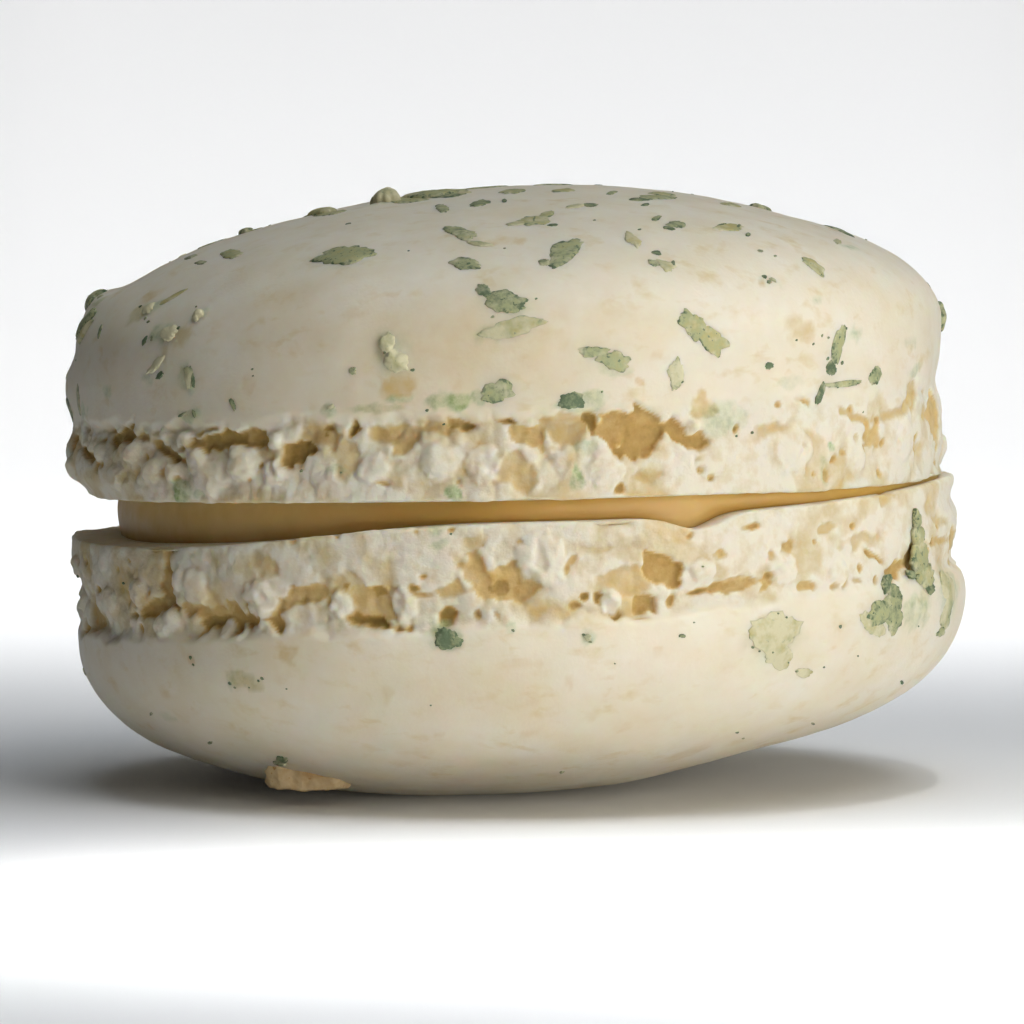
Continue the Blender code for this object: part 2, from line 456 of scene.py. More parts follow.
TOP_FLECKS = (
    Fleck(-155.9, 7.9, 0.14, 0.34, 20, 0.15, 0.1),
    Fleck(-145.1, 9.0, 0.36, 0.32, 0, 0.80, 0.80, 0.12),
    Fleck(-141.8, 9.7, 0.66, 0.18, 47, 1.0, 0.25),
    Fleck(-137.1, 7.7, 0.46, 0.38, 0, 0.85, 0.85, 0.16),
    Fleck(-142.0, 7.4, 0.14, 0.22, -15, 0.1),
    Fleck(-132.9, 8.5, 0.32, 0.28, 0, 0.90, 0.90, 0.18),
    Fleck(-138.9, 6.3, 0.70, 0.21, 34, 0.80, 0.70, 0.08),
    Fleck(-138.3, 5.8, 0.30, 0.14, 25, 0.0),
    Fleck(-132.7, 5.7, 0.25, 0.58, 6, 0.55, 0.45, 0.08),
    Fleck(-131.9, 5.5, 0.08, 0.36, 10, 0.1, 0.0, 0.09),
    Fleck(-162.2, 4.7, 0.22, 0.80, 8, 0.5, 0.5),
    Fleck(-133.9, 4.0, 0.30, 0.07, 20, 0.2, 0.1),
    Fleck(-131.9, 4.0, 0.09, 0.20, 10, 0.2, 0.1),
    Fleck(-125.4, 4.4, 0.13, 0.30, 30, 0.2),
    Fleck(-108.4, 5.6, 0.15, 0.17, 0, 0.2, 0.2),
    Fleck(-111.3, 4.1, 0.18, 0.10, 15, 0.3, 0.3),
    Fleck(-90.8, 4.4, 0.66, 0.44, 8, 0.35, 0.15),
    Fleck(-89.4, 8.2, 0.85, 0.62, -14, 0.42, 0.10),
    Fleck(-91.9, 8.9, 0.28, 0.42, 25, 0.15),
    Fleck(-88.8, 6.95, 1.30, 0.36, 8, 0.80, 0.45, 0.015),
    Fleck(-78.9, 5.8, 0.64, 0.22, -8, 0.50, 0.15),
    Fleck(-76.2, 5.35, 0.66, 0.36, -6, 0.55, 0.15),
    Fleck(-81.9, 3.9, 0.55, 0.34, 0, 0.08),
    Fleck(-68.5, 4.7, 0.36, 0.56, -12, 0.62, 0.50),
    Fleck(-65.9, 6.6, 0.74, 0.46, -38, 0.62, 0.12),
    Fleck(-63.4, 5.9, 0.70, 0.50, -30, 0.75, 0.15),
    Fleck(-67.0, 10.6, 0.20, 0.17, 0, 0.0),
    Fleck(-68.6, 9.8, 0.22, 0.26, 30, 0.4, 0.3),
    Fleck(-66.9, 9.6, 0.34, 0.40, 10, 0.8, 0.5),
    Fleck(-65.8, 9.7, 0.10, 0.20, -20, 0.1),
    Fleck(-55.2, 4.8, 0.24, 0.14, -5, -0.4),
    Fleck(-53.2, 8.6, 0.12, 0.10, 0, 0.1),
    Fleck(-53.0, 8.3, 0.12, 0.09, 0, 0.1),
    Fleck(-52.2, 8.4, 0.17, 0.10, -40, 0.3),
    Fleck(-42.9, 9.0, 0.44, 0.62, 22, 0.80, 0.20),
    Fleck(-43.6, 5.4, 0.90, 0.32, 62, 0.45, 0.15),
    Fleck(-45.0, 4.5, 0.30, 0.30, 40, 0.15),
    Fleck(-46.9, 3.6, 0.45, 0.17, 62, 0.0, 0.0, 0.12),
    Fleck(-42.4, 3.9, 1.15, 0.13, 0, 0.5, 0.15),
    Fleck(-36.2, 4.1, 0.46, 0.34, 24, 0.35, 0.10),
    Fleck(-141.3, 13.3, 0.95, 0.40, -22, 0.65, 0.05),
    Fleck(-146.5, 12.5, 0.42, 0.20, -10, 0.3, 0.2),
    Fleck(-155.5, 13.2, 0.40, 0.25, 0, 0.3, 0.2),
    Fleck(-114.5, 12.3, 1.25, 0.98, 0, 0.55, -0.2, 0.10),
    Fleck(-103.9, 6.7, 0.34, 0.34, 0, 0.65, 0.62, 0.10),
    Fleck(-102.9, 5.9, 0.52, 0.46, -20, 0.72, 0.62, 0.11),
    Fleck(-96.9, 14.4, 0.95, 0.42, -52, 0.4, 0.15),
    Fleck(-94.9, 13.8, 0.42, 0.60, 10, 0.5, 0.3),
    Fleck(-92.6, 12.7, 0.62, 0.24, -28, 0.6, 0.5),
    Fleck(-94.3, 10.9, 0.72, 0.46, -38, 0.42, 0.10),
    Fleck(-94.0, 10.8, 0.10, 0.10, 0, -0.3, 0.0, 0.09),
    Fleck(-79.7, 11.3, 1.42, 0.56, 56, 0.42, 0.10),
    Fleck(-83.5, 10.5, 0.24, 0.28, 0, 0.4, 0.1),
    Fleck(-82.3, 15.3, 0.72, 0.75, 0, 0.6, 0.25),
    Fleck(-79.2, 16.2, 0.26, 0.62, -28, 0.6, 0.25),
    Fleck(-85.8, 15.0, 0.45, 0.32, 0, 0.7, 0.5),
    Fleck(-82.3, 15.4, 0.07, 0.50, -14, 0.0, 0.0, 0.08),
    Fleck(-79.5, 14.4, 0.20, 0.16, 0, 0.0),
    Fleck(-58.3, 13.2, 0.48, 0.40, 20, 0.3),
    Fleck(-60.9, 12.8, 0.24, 0.20, 0, 0.15),
    Fleck(-60.3, 14.1, 0.50, 0.13, 38, 0.4),
    Fleck(-49.2, 12.6, 1.00, 0.38, 12, 0.95, 0.30),
    Fleck(-47.2, 12.6, 0.50, 0.09, 38, 0.1),
    Fleck(-49.8, 12.9, 0.36, 0.08, 20, 0.1),
    Fleck(-48.3, 11.7, 0.24, 0.10, 35, 0.2),
    Fleck(-68.8, 12.0, 0.26, 0.85, -8, 0.95, 0.45),
    Fleck(-50.4, 10.2, 0.14, 0.09, 0, -0.2, 0.4),
    Fleck(-26.8, 11.0, 0.75, 0.16, 20, 0.6, 0.3),
    Fleck(-141.5, 18.9, 0.85, 0.55, -10, 0.7, 0.1),
    Fleck(-127.0, 21.6, 1.00, 0.62, -20, 0.6, 0.1),
    Fleck(-112.0, 22.4, 0.80, 0.50, -15, 0.3),
    Fleck(-104.0, 18.7, 0.28, 1.05, 16, 0.35, 0.1),
    Fleck(-94.0, 19.4, 0.40, 0.95, 0, 0.3),
    Fleck(-86.8, 19.6, 0.11, 0.42, 0, 0.1),
    Fleck(-81.5, 22.3, 0.55, 0.80, -10, 0.6, 0.1),
    Fleck(-71.5, 17.0, 0.45, 0.28, 20, 0.8, 0.4),
    Fleck(-68.2, 17.0, 0.26, 0.36, 10, 0.1),
    Fleck(-51.8, 17.8, 0.50, 0.34, 15, 0.1),
    Fleck(-43.5, 18.2, 1.10, 0.60, 12, 0.5, 0.1),
    Fleck(-33.0, 19.2, 0.80, 0.45, 15, 0.7, 0.1),
    Fleck(-51.5, 19.7, 0.70, 0.16, 35, 0.4),
    Fleck(-63.0, 21.2, 0.62, 0.40, 30, 0.8, 0.1),
    Fleck(-55.0, 16.6, 0.42, 0.13, 35, 0.1),
    Fleck(-24.0, 16.6, 0.95, 0.40, 10, 0.75, 0.2),
    Fleck(-98.0, 25.5, 0.90, 0.50, 30, 0.5, 0.1),
    Fleck(-40.0, 24.5, 0.70, 0.50, -30, 0.4, 0.1),
    Fleck(-150.0, 25.0, 0.55, 0.40, 10, 0.3, 0.1),
    Fleck(-175.0, 9.6, 0.75, 0.55, 0, 0.45, 0.0, 0.20),
    Fleck(-166.0, 8.3, 0.95, 0.55, 30, 0.45, 0.0, 0.20),
    Fleck(-163.0, 7.9, 0.60, 0.20, 50, 0.9, 0.2, 0.20),
    Fleck(-159.0, 19.8, 0.60, 0.50, 10, 0.8, 0.3, 0.24),
    Fleck(-169.0, 16.7, 0.40, 0.35, 0, 0.5, 0.2, 0.20),
    Fleck(-120.2, 22.9, 1.60, 0.60, 12, 0.5, 0.2, 0.22),
    Fleck(-148.1, 19.2, 0.65, 0.45, 0, 0.8, 0.2, 0.22),
    Fleck(-135.0, 21.4, 0.62, 0.60, 0, 0.7, 0.55, 0.42),
    Fleck(-2.0, 6.1, 0.45, 0.62, 0, 0.4, 0.1, 0.22),
    Fleck(-2.0, 16.0, 0.90, 0.50, 0, 0.35, 0.1, 0.20),
)

TOP_SPECKS = (
    (-144.2, 8.5, 0.12), (-143.0, 8.3, 0.10), (-148.1, 9.2, 0.09), (-135.7, 7.9, 0.11), (-140.4, 7.4, 0.09),
    (-122.3, 5.9, 0.07), (-122.2, 5.6, 0.05), (-104.2, 6.3, 0.09), (-100.9, 5.5, 0.10), (-103.2, 6.9, 0.07),
    (-99.2, 3.8, 0.09), (-97.2, 3.2, 0.07), (-67.7, 4.4, 0.09), (-85.4, 8.2, 0.07), (-45.6, 4.9, 0.09),
    (-44.6, 5.1, 0.08), (-43.0, 4.7, 0.10), (-45.4, 5.7, 0.08), (-42.0, 6.0, 0.08), (-43.8, 3.8, 0.07),
    (-46.5, 5.8, 0.07), (-50.8, 5.7, 0.06), (-48.0, 5.5, 0.07), (-58.0, 2.3, 0.08), (-61.6, 2.4, 0.08),
    (-60.3, 2.2, 0.07), (-62.4, 2.3, 0.07), (-115.5, 1.4, 0.09), (-110.2, 1.3, 0.07), (-39.1, 2.8, 0.08),
    (-89.5, 8.4, 0.07), (-87.0, 8.0, 0.08), (-90.9, 7.5, 0.08), (-76.9, 5.4, 0.06), (-134.4, 9.0, 0.05),
    (-140.4, 7.5, 0.10), (-103.8, 12.4, 0.06), (-88.7, 12.1, 0.06), (-66.0, 12.9, 0.10), (-71.5, 14.6, 0.07),
    (-48.6, 9.8, 0.09), (-122.8, 16.4, 0.14), (-78.0, 4.2, 0.06), (-91.6, 4.3, 0.09), (-91.2, 4.7, 0.07),
)

TOP_STAINS_AND_PAINTED_LIGHT = (
    Stain(-135.0, 21.4, 0.90, 0.80, 0, 0.50, 0.00),
    Stain(-103.4, 6.3, 0.80, 1.00, 0, 0.40, 0.10, 0.05),
    Stain(-148.4, 9.8, 0.60, 0.45, 0, 0.00, 0.45),
    Stain(-147.4, 8.7, 0.60, 0.50, 0, 0.45, 0.40),
    Stain(-144.8, 9.0, 0.75, 0.50, 20, 0.45, 0.00, 0.08),
    Stain(-139.3, 7.7, 0.75, 0.55, 0, 0.60, 0.00, 0.06),
    Stain(-134.6, 7.6, 0.40, 0.50, 0, 0.30, 0.60),
    Stain(-132.9, 8.5, 0.50, 0.40, 0, 0.35, 0.00, 0.10),
    Stain(-137.5, 7.0, 0.45, 0.35, 0, 0.25, 0.45),
    Stain(-141.0, 5.7, 0.34, 0.24, 0, 0.45, 0.00, 0.06),
    # painted shade: a broad ochre patch darkening the left of the foot, which faces away from the light
    Stain(-140.0, 1.9, 9.00, 1.70, 0, 0.00, 0.30),
    Stain(-132.8, 5.6, 0.45, 0.70, 12, 0.45, 0.00, 0.05),
    Stain(-133.0, 3.9, 0.75, 0.28, 0, 0.55, 0.00),
    Stain(-151.0, 5.1, 0.50, 0.30, 0, 0.35, 0.00),
    Stain(-160.0, 4.1, 0.60, 0.40, 0, 0.45, 0.00),
    Stain(-122.8, 5.3, 0.35, 0.60, 0, 0.00, 0.35),
    Stain(-103.4, 6.2, 0.95, 0.46, -48, 0.38, 0.00, 0.22),
    Stain(-102.6, 4.95, 0.85, 0.55, 12, 0.10, 0.75),
    Stain(-111.5, 4.0, 0.42, 0.28, 0, 0.62, 0.00, 0.06),
    Stain(-105.5, 4.0, 1.10, 0.24, 0, 0.50, 0.20),
    Stain(-102.6, 4.4, 0.60, 0.18, 8, 0.60, 0.00, 0.05),
    Stain(-96.9, 4.1, 0.78, 0.46, 0, 0.80, 0.00, 0.04),
    Stain(-93.6, 4.2, 0.50, 0.40, 0, 0.60, 0.00),
    Stain(-91.5, 6.8, 0.80, 0.26, 12, 0.50, 0.30, 0.04),
    Stain(-79.2, 4.0, 0.75, 0.34, 0, 0.55, 0.00),
    Stain(-81.5, 3.8, 0.80, 0.40, 0, 0.55, 0.00),
    Stain(-76.0, 5.0, 0.70, 0.24, -14, 0.40, 0.00),
    Stain(-50.2, 6.2, 1.05, 0.30, -12, 0.15, 0.55, 0.04),
    Stain(-62.0, 2.9, 0.95, 0.75, 0, 0.42, 0.00, 0.06),
    Stain(-40.0, 5.7, 0.55, 0.26, 0, 0.55, 0.00, 0.04),
    Stain(-46.6, 7.2, 0.38, 0.13, 0, 0.50, 0.00),
    Stain(-24.0, 4.2, 1.10, 0.30, 4, 0.40, 0.00),
    Stain(-26.0, 5.2, 0.80, 0.22, 0, 0.25, 0.10),
    Stain(-52.0, 4.1, 0.80, 0.22, 0, 0.20, 0.00),
    Stain(-26.5, 10.3, 0.80, 0.40, 0, 0.45, 0.00, 0.03),
    Stain(-53.0, 8.3, 0.70, 0.30, -20, 0.25, 0.00),
    Stain(-54.4, 8.2, 0.24, 0.12, 20, 0.00, 1.00),
    Stain(-65.0, 3.5, 0.50, 0.42, 0, 0.10, 0.70),
    Stain(-108.5, 8.1, 0.60, 0.24, 0, 0.00, 0.30),
    Stain(-88.0, 8.0, 0.50, 0.40, 0, 0.25, 0.00),
    Stain(-87.0, 5.0, 0.80, 0.26, 0, 0.00, 0.22),
    Stain(-73.1, 4.5, 0.24, 0.20, 0, 0.00, 0.60),
    Stain(-71.0, 5.5, 0.32, 0.20, 0, 0.00, 0.35),
    Stain(-83.0, 6.1, 0.35, 0.28, 0, 0.00, 0.30),
    # painted warm light: a broad faint ochre over the front middle of the skin
    Stain(-92.0, 6.6, 9.50, 3.60, 0, 0.00, 0.26),
    Stain(-120.0, 9.3, 2.40, 1.00, 10, 0.00, 0.22),
    Stain(-134.0, 0.6, 0.70, 0.50, 0, 0.75, 0.00),
    Stain(-135.0, 0.2, 0.25, 0.22, 0, 0.95, 0.00),
    Stain(-131.0, 0.3, 0.40, 0.22, 0, 0.55, 0.00),
    Stain(-96.8, 0.3, 0.40, 0.35, 0, 0.80, 0.00),
    Stain(-80.9, 0.8, 0.36, 0.60, 12, 0.80, 0.00),
    Stain(-79.9, 2.0, 0.40, 0.50, 20, 0.40, 0.00),
    Stain(-45.4, 1.6, 0.24, 0.22, 0, 0.75, 0.00),
    Stain(-47.0, 0.8, 0.40, 0.50, 0, 0.35, 0.10),
    Stain(-111.0, 1.4, 0.45, 0.20, 0, 0.40, 0.00),
)

BOTTOM_FLECKS = (
    Fleck(-99.0, 4.15, 0.55, 0.42, 10, 0.05, 0.0, 0.10),
    Fleck(-99.3, 4.0, 0.26, 0.24, 0, 0.0, 0.0, 0.14),
    Fleck(-98.0, 4.3, 0.28, 0.22, 0, 0.15, 0.0, 0.13),
    Fleck(-70.6, 4.8, 0.16, 0.08, 0, 0.1),
    Fleck(-82.3, 4.5, 0.16, 0.14, 0, 0.25, 0.3),
    Fleck(-58.6, 5.1, 1.30, 0.90, 0, 0.85, 0.60, 0.04),
    Fleck(-56.8, 6.2, 0.70, 0.55, 20, 0.85, 0.60, 0.03),
    Fleck(-52.4, 7.1, 0.50, 0.26, 12, 0.9, 0.4, 0.03),
    Fleck(-38.9, 4.8, 1.30, 0.60, -12, 0.42, 0.05, 0.09),
    Fleck(-36.9, 5.2, 0.75, 0.64, 10, 0.45, 0.10, 0.09),
    Fleck(-37.2, 4.0, 0.70, 0.34, 20, 0.25, 0.0, 0.12),
    Fleck(-38.4, 3.7, 0.28, 0.42, 30, 0.15, 0.0, 0.14),
    Fleck(-41.2, 5.4, 1.00, 0.42, 30, 0.75, 0.45, 0.04),
    Fleck(-29.6, 2.9, 0.92, 0.66, 4, 0.62, 0.15, 0.13),
    Fleck(-28.2, 3.7, 0.85, 0.50, -10, 0.58, 0.15, 0.13),
    Fleck(-29.4, 2.0, 0.44, 0.60, 4, 0.60, 0.10, 0.13),
    Fleck(-29.6, 1.3, 0.26, 0.40, 0, 0.50, 0.05, 0.13),
    Fleck(-27.3, 4.3, 0.42, 0.28, 0, 0.15, 0.0, 0.10),
    Fleck(-32.2, 3.5, 0.36, 0.18, 20, 0.30, 0.0, 0.10),
    Fleck(-20.9, 4.4, 0.80, 0.80, -6, 0.65, 0.50, 0.05),
    Fleck(-21.3, 5.5, 0.66, 0.80, 8, 0.60, 0.40, 0.05),
    Fleck(-22.0, 6.3, 0.50, 0.24, 0, 0.45, 0.15, 0.05),
    Fleck(-26.0, 8.75, 0.34, 0.06, 24, -0.2),
    Fleck(-39.3, 11.4, 0.30, 0.06, 30, -0.3),
    Fleck(-141.3, 9.3, 0.26, 0.07, -20, 0.3, 0.2),
    Fleck(-148.8, 7.4, 0.22, 0.06, -20, 0.3, 0.3),
    Fleck(-130.6, 10.8, 0.50, 0.24, -35, 0.15, 0.0, 0.16),
    Fleck(-132.4, 11.2, 0.30, 0.18, 0, -0.2, 0.0, 0.18),
    Fleck(-84.6, 14.0, 0.10, 0.20, 0, 0.3, 0.4),
)

BOTTOM_SPECKS = (
    (-128.9, 5.7, 0.11), (-128.3, 5.9, 0.07), (-123.7, 5.5, 0.09), (-124.3, 5.6, 0.07), (-126.0, 5.9, 0.05),
    (-135.1, 4.6, 0.11), (-134.7, 4.9, 0.08), (-82.7, 4.4, 0.09), (-82.0, 4.7, 0.08), (-79.1, 5.7, 0.05),
    (-91.0, 4.0, 0.08), (-47.6, 5.2, 0.11), (-61.2, 5.6, 0.09), (-60.2, 5.8, 0.07), (-58.3, 5.9, 0.07),
    (-57.6, 4.3, 0.07), (-56.4, 4.5, 0.07), (-55.5, 6.5, 0.07), (-53.6, 7.0, 0.10), (-43.0, 6.7, 0.06),
    (-49.0, 7.0, 0.07), (-57.0, 11.0, 0.10), (-53.7, 11.9, 0.08), (-120.5, 6.0, 0.05), (-67.3, 1.8, 0.06),
    (-97.4, 0.3, 0.06), (-102.0, 7.1, 0.05), (-30.2, 5.8, 0.06), (-69.0, 4.3, 0.05), (-148.0, 1.5, 0.07),
)

BOTTOM_STAINS_AND_PAINTED_LIGHT = (
    # painted shade: a broad ochre patch darkening the left of the foot, which faces away from the light
    Stain(-140.0, 2.0, 9.00, 1.80, 0, 0.00, 0.24),
    # painted warm light: a broad faint ochre over the front middle of the skin
    Stain(-96.0, 6.4, 8.00, 2.20, 0, 0.00, 0.14),
    Stain(-126.6, 5.6, 0.95, 0.46, 6, 0.62, 0.45, 0.05),
    Stain(-128.8, 5.7, 0.25, 0.28, 0, 0.60, 0.00),
    Stain(-135.1, 4.7, 0.32, 0.26, 0, 0.00, 0.60),
    Stain(-119.2, 4.5, 0.50, 0.50, 0, 0.10, 0.50),
    Stain(-145.0, 7.5, 0.60, 0.20, 10, 0.30, 0.00),
    Stain(-142.0, 6.4, 0.60, 0.30, 0, 0.00, 0.25),
    Stain(-99.0, 4.1, 0.80, 0.62, 0, 0.62, 0.00),
    Stain(-91.2, 3.9, 0.30, 0.25, 0, 0.40, 0.00),
    Stain(-82.3, 4.5, 0.40, 0.30, 0, 0.40, 0.00),
    Stain(-90.5, 5.5, 1.10, 0.22, 0, 0.00, 0.34),
    Stain(-90.0, 7.3, 0.50, 0.30, 0, 0.00, 0.24),
    Stain(-74.2, 5.3, 0.28, 0.20, 0, 0.00, 0.42),
    Stain(-84.4, 6.5, 0.22, 0.32, 20, 0.00, 0.30),
    Stain(-107.5, 6.5, 0.25, 0.60, 10, 0.00, 0.32),
    Stain(-90.0, 9.3, 0.42, 0.30, 0, 0.00, 0.26),
    Stain(-101.8, 8.9, 0.26, 0.34, 0, 0.00, 0.32),
    Stain(-81.5, 8.3, 0.20, 0.50, 0, 0.00, 0.28),
    Stain(-77.0, 9.3, 0.42, 0.28, 0, 0.00, 0.22),
    Stain(-58.5, 5.3, 1.60, 0.95, 5, 0.20, 0.12, 0.06),
    Stain(-47.6, 5.2, 0.26, 0.20, 0, 0.00, 0.55),
    Stain(-41.5, 5.2, 0.90, 0.42, 20, 0.45, 0.10, 0.03),
    Stain(-31.0, 4.9, 1.25, 0.60, 0, 0.48, 0.00, 0.04),
    Stain(-20.0, 4.6, 1.70, 1.20, 0, 0.42, 0.00, 0.06),
    Stain(-30.8, 5.2, 1.30, 0.80, 0, 0.45, 0.00, 0.05),
    Stain(-99.2, -0.1, 0.50, 0.30, 0, 0.45, 0.00),
    Stain(-98.9, 0.6, 0.45, 0.22, 0, 0.40, 0.00),
    Stain(-71.0, 0.2, 1.10, 0.60, 0, 0.00, 0.65),
    Stain(-38.5, -0.4, 0.40, 0.24, 0, 0.55, 0.00),
    Stain(-53.0, 3.6, 0.60, 0.30, 0, 0.00, 0.20),
    Stain(-148.0, 3.6, 1.20, 0.30, 0, 0.00, 0.15),
    Stain(-62.5, 13.0, 0.70, 1.20, 30, 0.05, 0.30),
)


def scattered_flecks(shell, count):
    """Flakes like the listed ones over the sides and back, seeded, as many to each square mm."""
    draw = np.random.default_rng(shell.seed + 7)
    top = 27.0 if shell.up > 0 else 19.0
    made = []
    while len(made) < count:
        bearing, way = draw.uniform(-10, 196), draw.uniform(3.8, top)
        if draw.random() > math.cos(min(way, 27) / 28 * math.pi / 2):
            continue
        size = 0.16 + 0.85 * draw.random() ** 2.2
        made.append(
            Fleck(
                bearing=bearing,
                way=way,
                wide=size * draw.uniform(0.8, 1.6),
                tall=size * draw.uniform(0.4, 0.8),
                turn=draw.uniform(-90, 90),
                tone=draw.choice((0.1, 0.35, 0.5, 0.7, 0.95)),
                veil=draw.choice((0.0, 0.1, 0.2, 0.5)),
            )
        )
    return made


def scattered_specks(shell, count):
    draw = np.random.default_rng(shell.seed + 8)
    return [(draw.uniform(-12, 196), draw.uniform(0.4, 20), draw.uniform(0.05, 0.12)) for _ in range(count)]


def scattered_stains(shell, count):
    draw = np.random.default_rng(shell.seed + 9)
    made = []
    for _ in range(count):
        green = draw.uniform(0.3, 0.65) if draw.random() < 0.6 else 0.0
        made.append(
            Stain(
                bearing=draw.uniform(-8, 195),
                way=draw.uniform(0.5, 18),
                wide=draw.uniform(0.3, 1.2),
                tall=draw.uniform(0.2, 0.5),
                turn=draw.uniform(-30, 30),
                green=green,
                ochre=draw.uniform(0.2, 0.6) if green == 0 else draw.uniform(0, 0.25),
                raised=0.06 if green > 0.5 else 0.0,
            )
        )
    return made


def stained_and_painted_light(shell, points):
    """Green, ochre and raised values at points of the skin: for each stain one less the radius of its
    turned ellipse, on bent coordinates, made a soft-edged patch, and the greatest of all of them taken.
    The broadest ochre patches are not stains but painted shade on the left of the feet and painted
    warm light over the front."""
    chosen = TOP_STAINS_AND_PAINTED_LIGHT if shell.up > 0 else BOTTOM_STAINS_AND_PAINTED_LIGHT
    shape = points.shape[:-1]
    flat = points.reshape(-1, 3)
    bearing = np.arctan2(flat[:, 1], flat[:, 0])
    radius = np.hypot(flat[:, 0], flat[:, 1])
    way = way_up(shell, flat)
    where = flat + shell.seed
    bend_a = 0.40 * noise(where, 1.1, 51) + 0.20 * noise(where, 0.45, 52) + 0.08 * noise(where, 0.2, 55)
    bend_b = 0.34 * noise(where, 1.0, 53) + 0.18 * noise(where, 0.45, 54) + 0.08 * noise(where, 0.2, 56)
    result = np.zeros((3, len(flat)))
    for stain in (*chosen, *scattered_stains(shell, 26)):
        off = (bearing - math.radians(stain.bearing) + math.pi) % (2 * math.pi) - math.pi
        along, above = off * radius, way - stain.way
        near = np.nonzero(np.abs(along) + np.abs(above) < 2.4 * max(stain.wide, stain.tall))[0]
        turn = math.radians(stain.turn)
        calm = min(1.0, stain.tall / 0.35)
        along, above = along[near] + calm * bend_a[near], above[near] + calm * bend_b[near]
        p = (along * math.cos(turn) + above * math.sin(turn)) / stain.wide
        q = (above * math.cos(turn) - along * math.sin(turn)) / stain.tall
        inside = 1 - np.hypot(p, q)
        patch = smooth(inside, -0.15, 0.35 if stain.wide < 2 else 1.0)
        result[0, near] = np.maximum(result[0, near], patch * stain.green)
        result[1, near] = np.maximum(result[1, near], patch * stain.ochre)
        swell = smooth(inside, 0, 0.8)
        result[2, near] = np.maximum(result[2, near], swell * stain.raised)
    return result.reshape(3, *shape)


# Cavities of the feet ---------------------------------------------------------------------------


@dataclass
class Cavity:
    """A hollow of a foot: half lengths in mm along the rim and up the foot, turn in degrees."""

    bearing: float
    height: float
    wide: float
    tall: float
    turn: float
    depth: float
    tone: float  # 0.5 for a thin tan membrane, 1 for a deep hole, brown partly from its own tan and partly from painted shade


TOP_CAVITIES = (
    Cavity(-148.2, 2.95, 1.30, 0.34, 6, 0.75, 0.95),
    Cavity(-145.6, 3.25, 0.35, 0.25, 20, 0.75, 0.95),
    Cavity(-142.0, 2.90, 0.60, 0.18, -8, 0.35, 0.60),
    Cavity(-137.4, 2.35, 1.15, 0.19, -22, 0.65, 0.88),
    Cavity(-135.4, 2.00, 0.35, 0.24, -15, 0.80, 0.95),
    Cavity(-147.0, 1.20, 1.20, 0.22, 8, 0.22, 0.42),
    Cavity(-130.8, 2.65, 0.85, 0.28, 4, 0.55, 0.74),
    Cavity(-127.2, 2.72, 1.15, 0.34, 3, 0.80, 0.97),
    Cavity(-122.6, 2.80, 0.95, 0.40, -12, 0.65, 0.80),
    Cavity(-129.0, 3.32, 0.34, 0.10, 0, 0.60, 0.85),
    Cavity(-116.8, 2.00, 0.62, 0.44, 20, 1.10, 1.00),
    Cavity(-114.7, 2.20, 0.45, 0.20, 15, 0.95, 1.00),
    Cavity(-112.6, 2.90, 0.95, 0.55, 0, 0.32, 0.50),
    Cavity(-112.0, 3.20, 0.17, 0.15, 0, 0.70, 0.92),
    Cavity(-108.8, 3.18, 0.20, 0.28, -10, 0.80, 0.97),
    Cavity(-109.8, 1.90, 0.50, 0.95, 5, 0.18, 0.36),
    Cavity(-103.3, 2.95, 1.05, 0.45, 0, 0.42, 0.52),
    Cavity(-102.6, 2.40, 0.45, 0.40, 0, 0.45, 0.55),
    Cavity(-97.6, 3.05, 0.70, 0.25, 0, 0.35, 0.50),
    Cavity(-94.9, 3.20, 0.55, 0.20, -8, 0.60, 0.78),
    Cavity(-94.2, 3.08, 0.32, 0.12, 0, 0.80, 0.92),
    Cavity(-105.2, 0.85, 0.26, 0.08, -20, 0.45, 0.85),
    Cavity(-106.2, 1.75, 0.40, 0.14, 5, 0.20, 0.45),
    Cavity(-89.4, 3.22, 0.40, 0.13, -20, 0.80, 0.95),
    Cavity(-87.2, 2.62, 0.65, 0.40, -10, 0.42, 0.60),
    Cavity(-88.6, 1.15, 0.85, 0.70, 0, 0.26, 0.44),
    Cavity(-90.9, 1.70, 0.45, 0.22, 10, 0.24, 0.44),
    Cavity(-82.5, 2.75, 0.90, 0.70, 0, 0.50, 0.52),
    Cavity(-79.3, 3.08, 0.42, 0.15, -58, 1.10, 1.00),
    Cavity(-76.4, 2.75, 0.75, 0.68, -30, 0.72, 0.72),
    Cavity(-73.2, 2.60, 0.95, 0.85, 20, 0.80, 0.78),
    Cavity(-74.2, 2.15, 0.75, 0.42, 10, 0.90, 0.84),
    Cavity(-67.2, 2.35, 0.98, 0.28, -25, 0.72, 0.80),
    Cavity(-65.4, 2.00, 0.40, 0.20, -10, 0.80, 0.86),
    Cavity(-65.0, 3.45, 0.45, 0.38, 0, 0.12, 0.48),
    Cavity(-72.0, 0.80, 0.45, 0.25, 20, 0.18, 0.46),
    Cavity(-65.5, 0.95, 0.09, 0.08, 0, 0.35, 0.85),
    Cavity(-63.8, 0.65, 0.14, 0.12, 0, 0.40, 0.80),
    Cavity(-55.0, 2.35, 0.80, 0.20, 5, 0.18, 0.40),
    Cavity(-49.8, 3.38, 0.35, 0.09, -15, 0.45, 0.75),
    Cavity(-43.4, 1.30, 0.16, 0.12, 0, 0.25, 0.65),
    Cavity(-40.4, 2.60, 1.00, 0.16, -19, 0.28, 0.55),
    Cavity(-37.2, 2.00, 0.48, 0.34, -10, 0.30, 0.58),
    Cavity(-31.5, 2.70, 1.30, 0.16, 6, 0.25, 0.46),
    Cavity(-25.4, 3.30, 0.65, 0.32, 10, 0.30, 0.54),
    Cavity(-18.0, 2.50, 0.90, 0.22, -8, 0.30, 0.54),
    Cavity(-24.0, 1.25, 0.90, 0.14, 5, 0.15, 0.42),
)

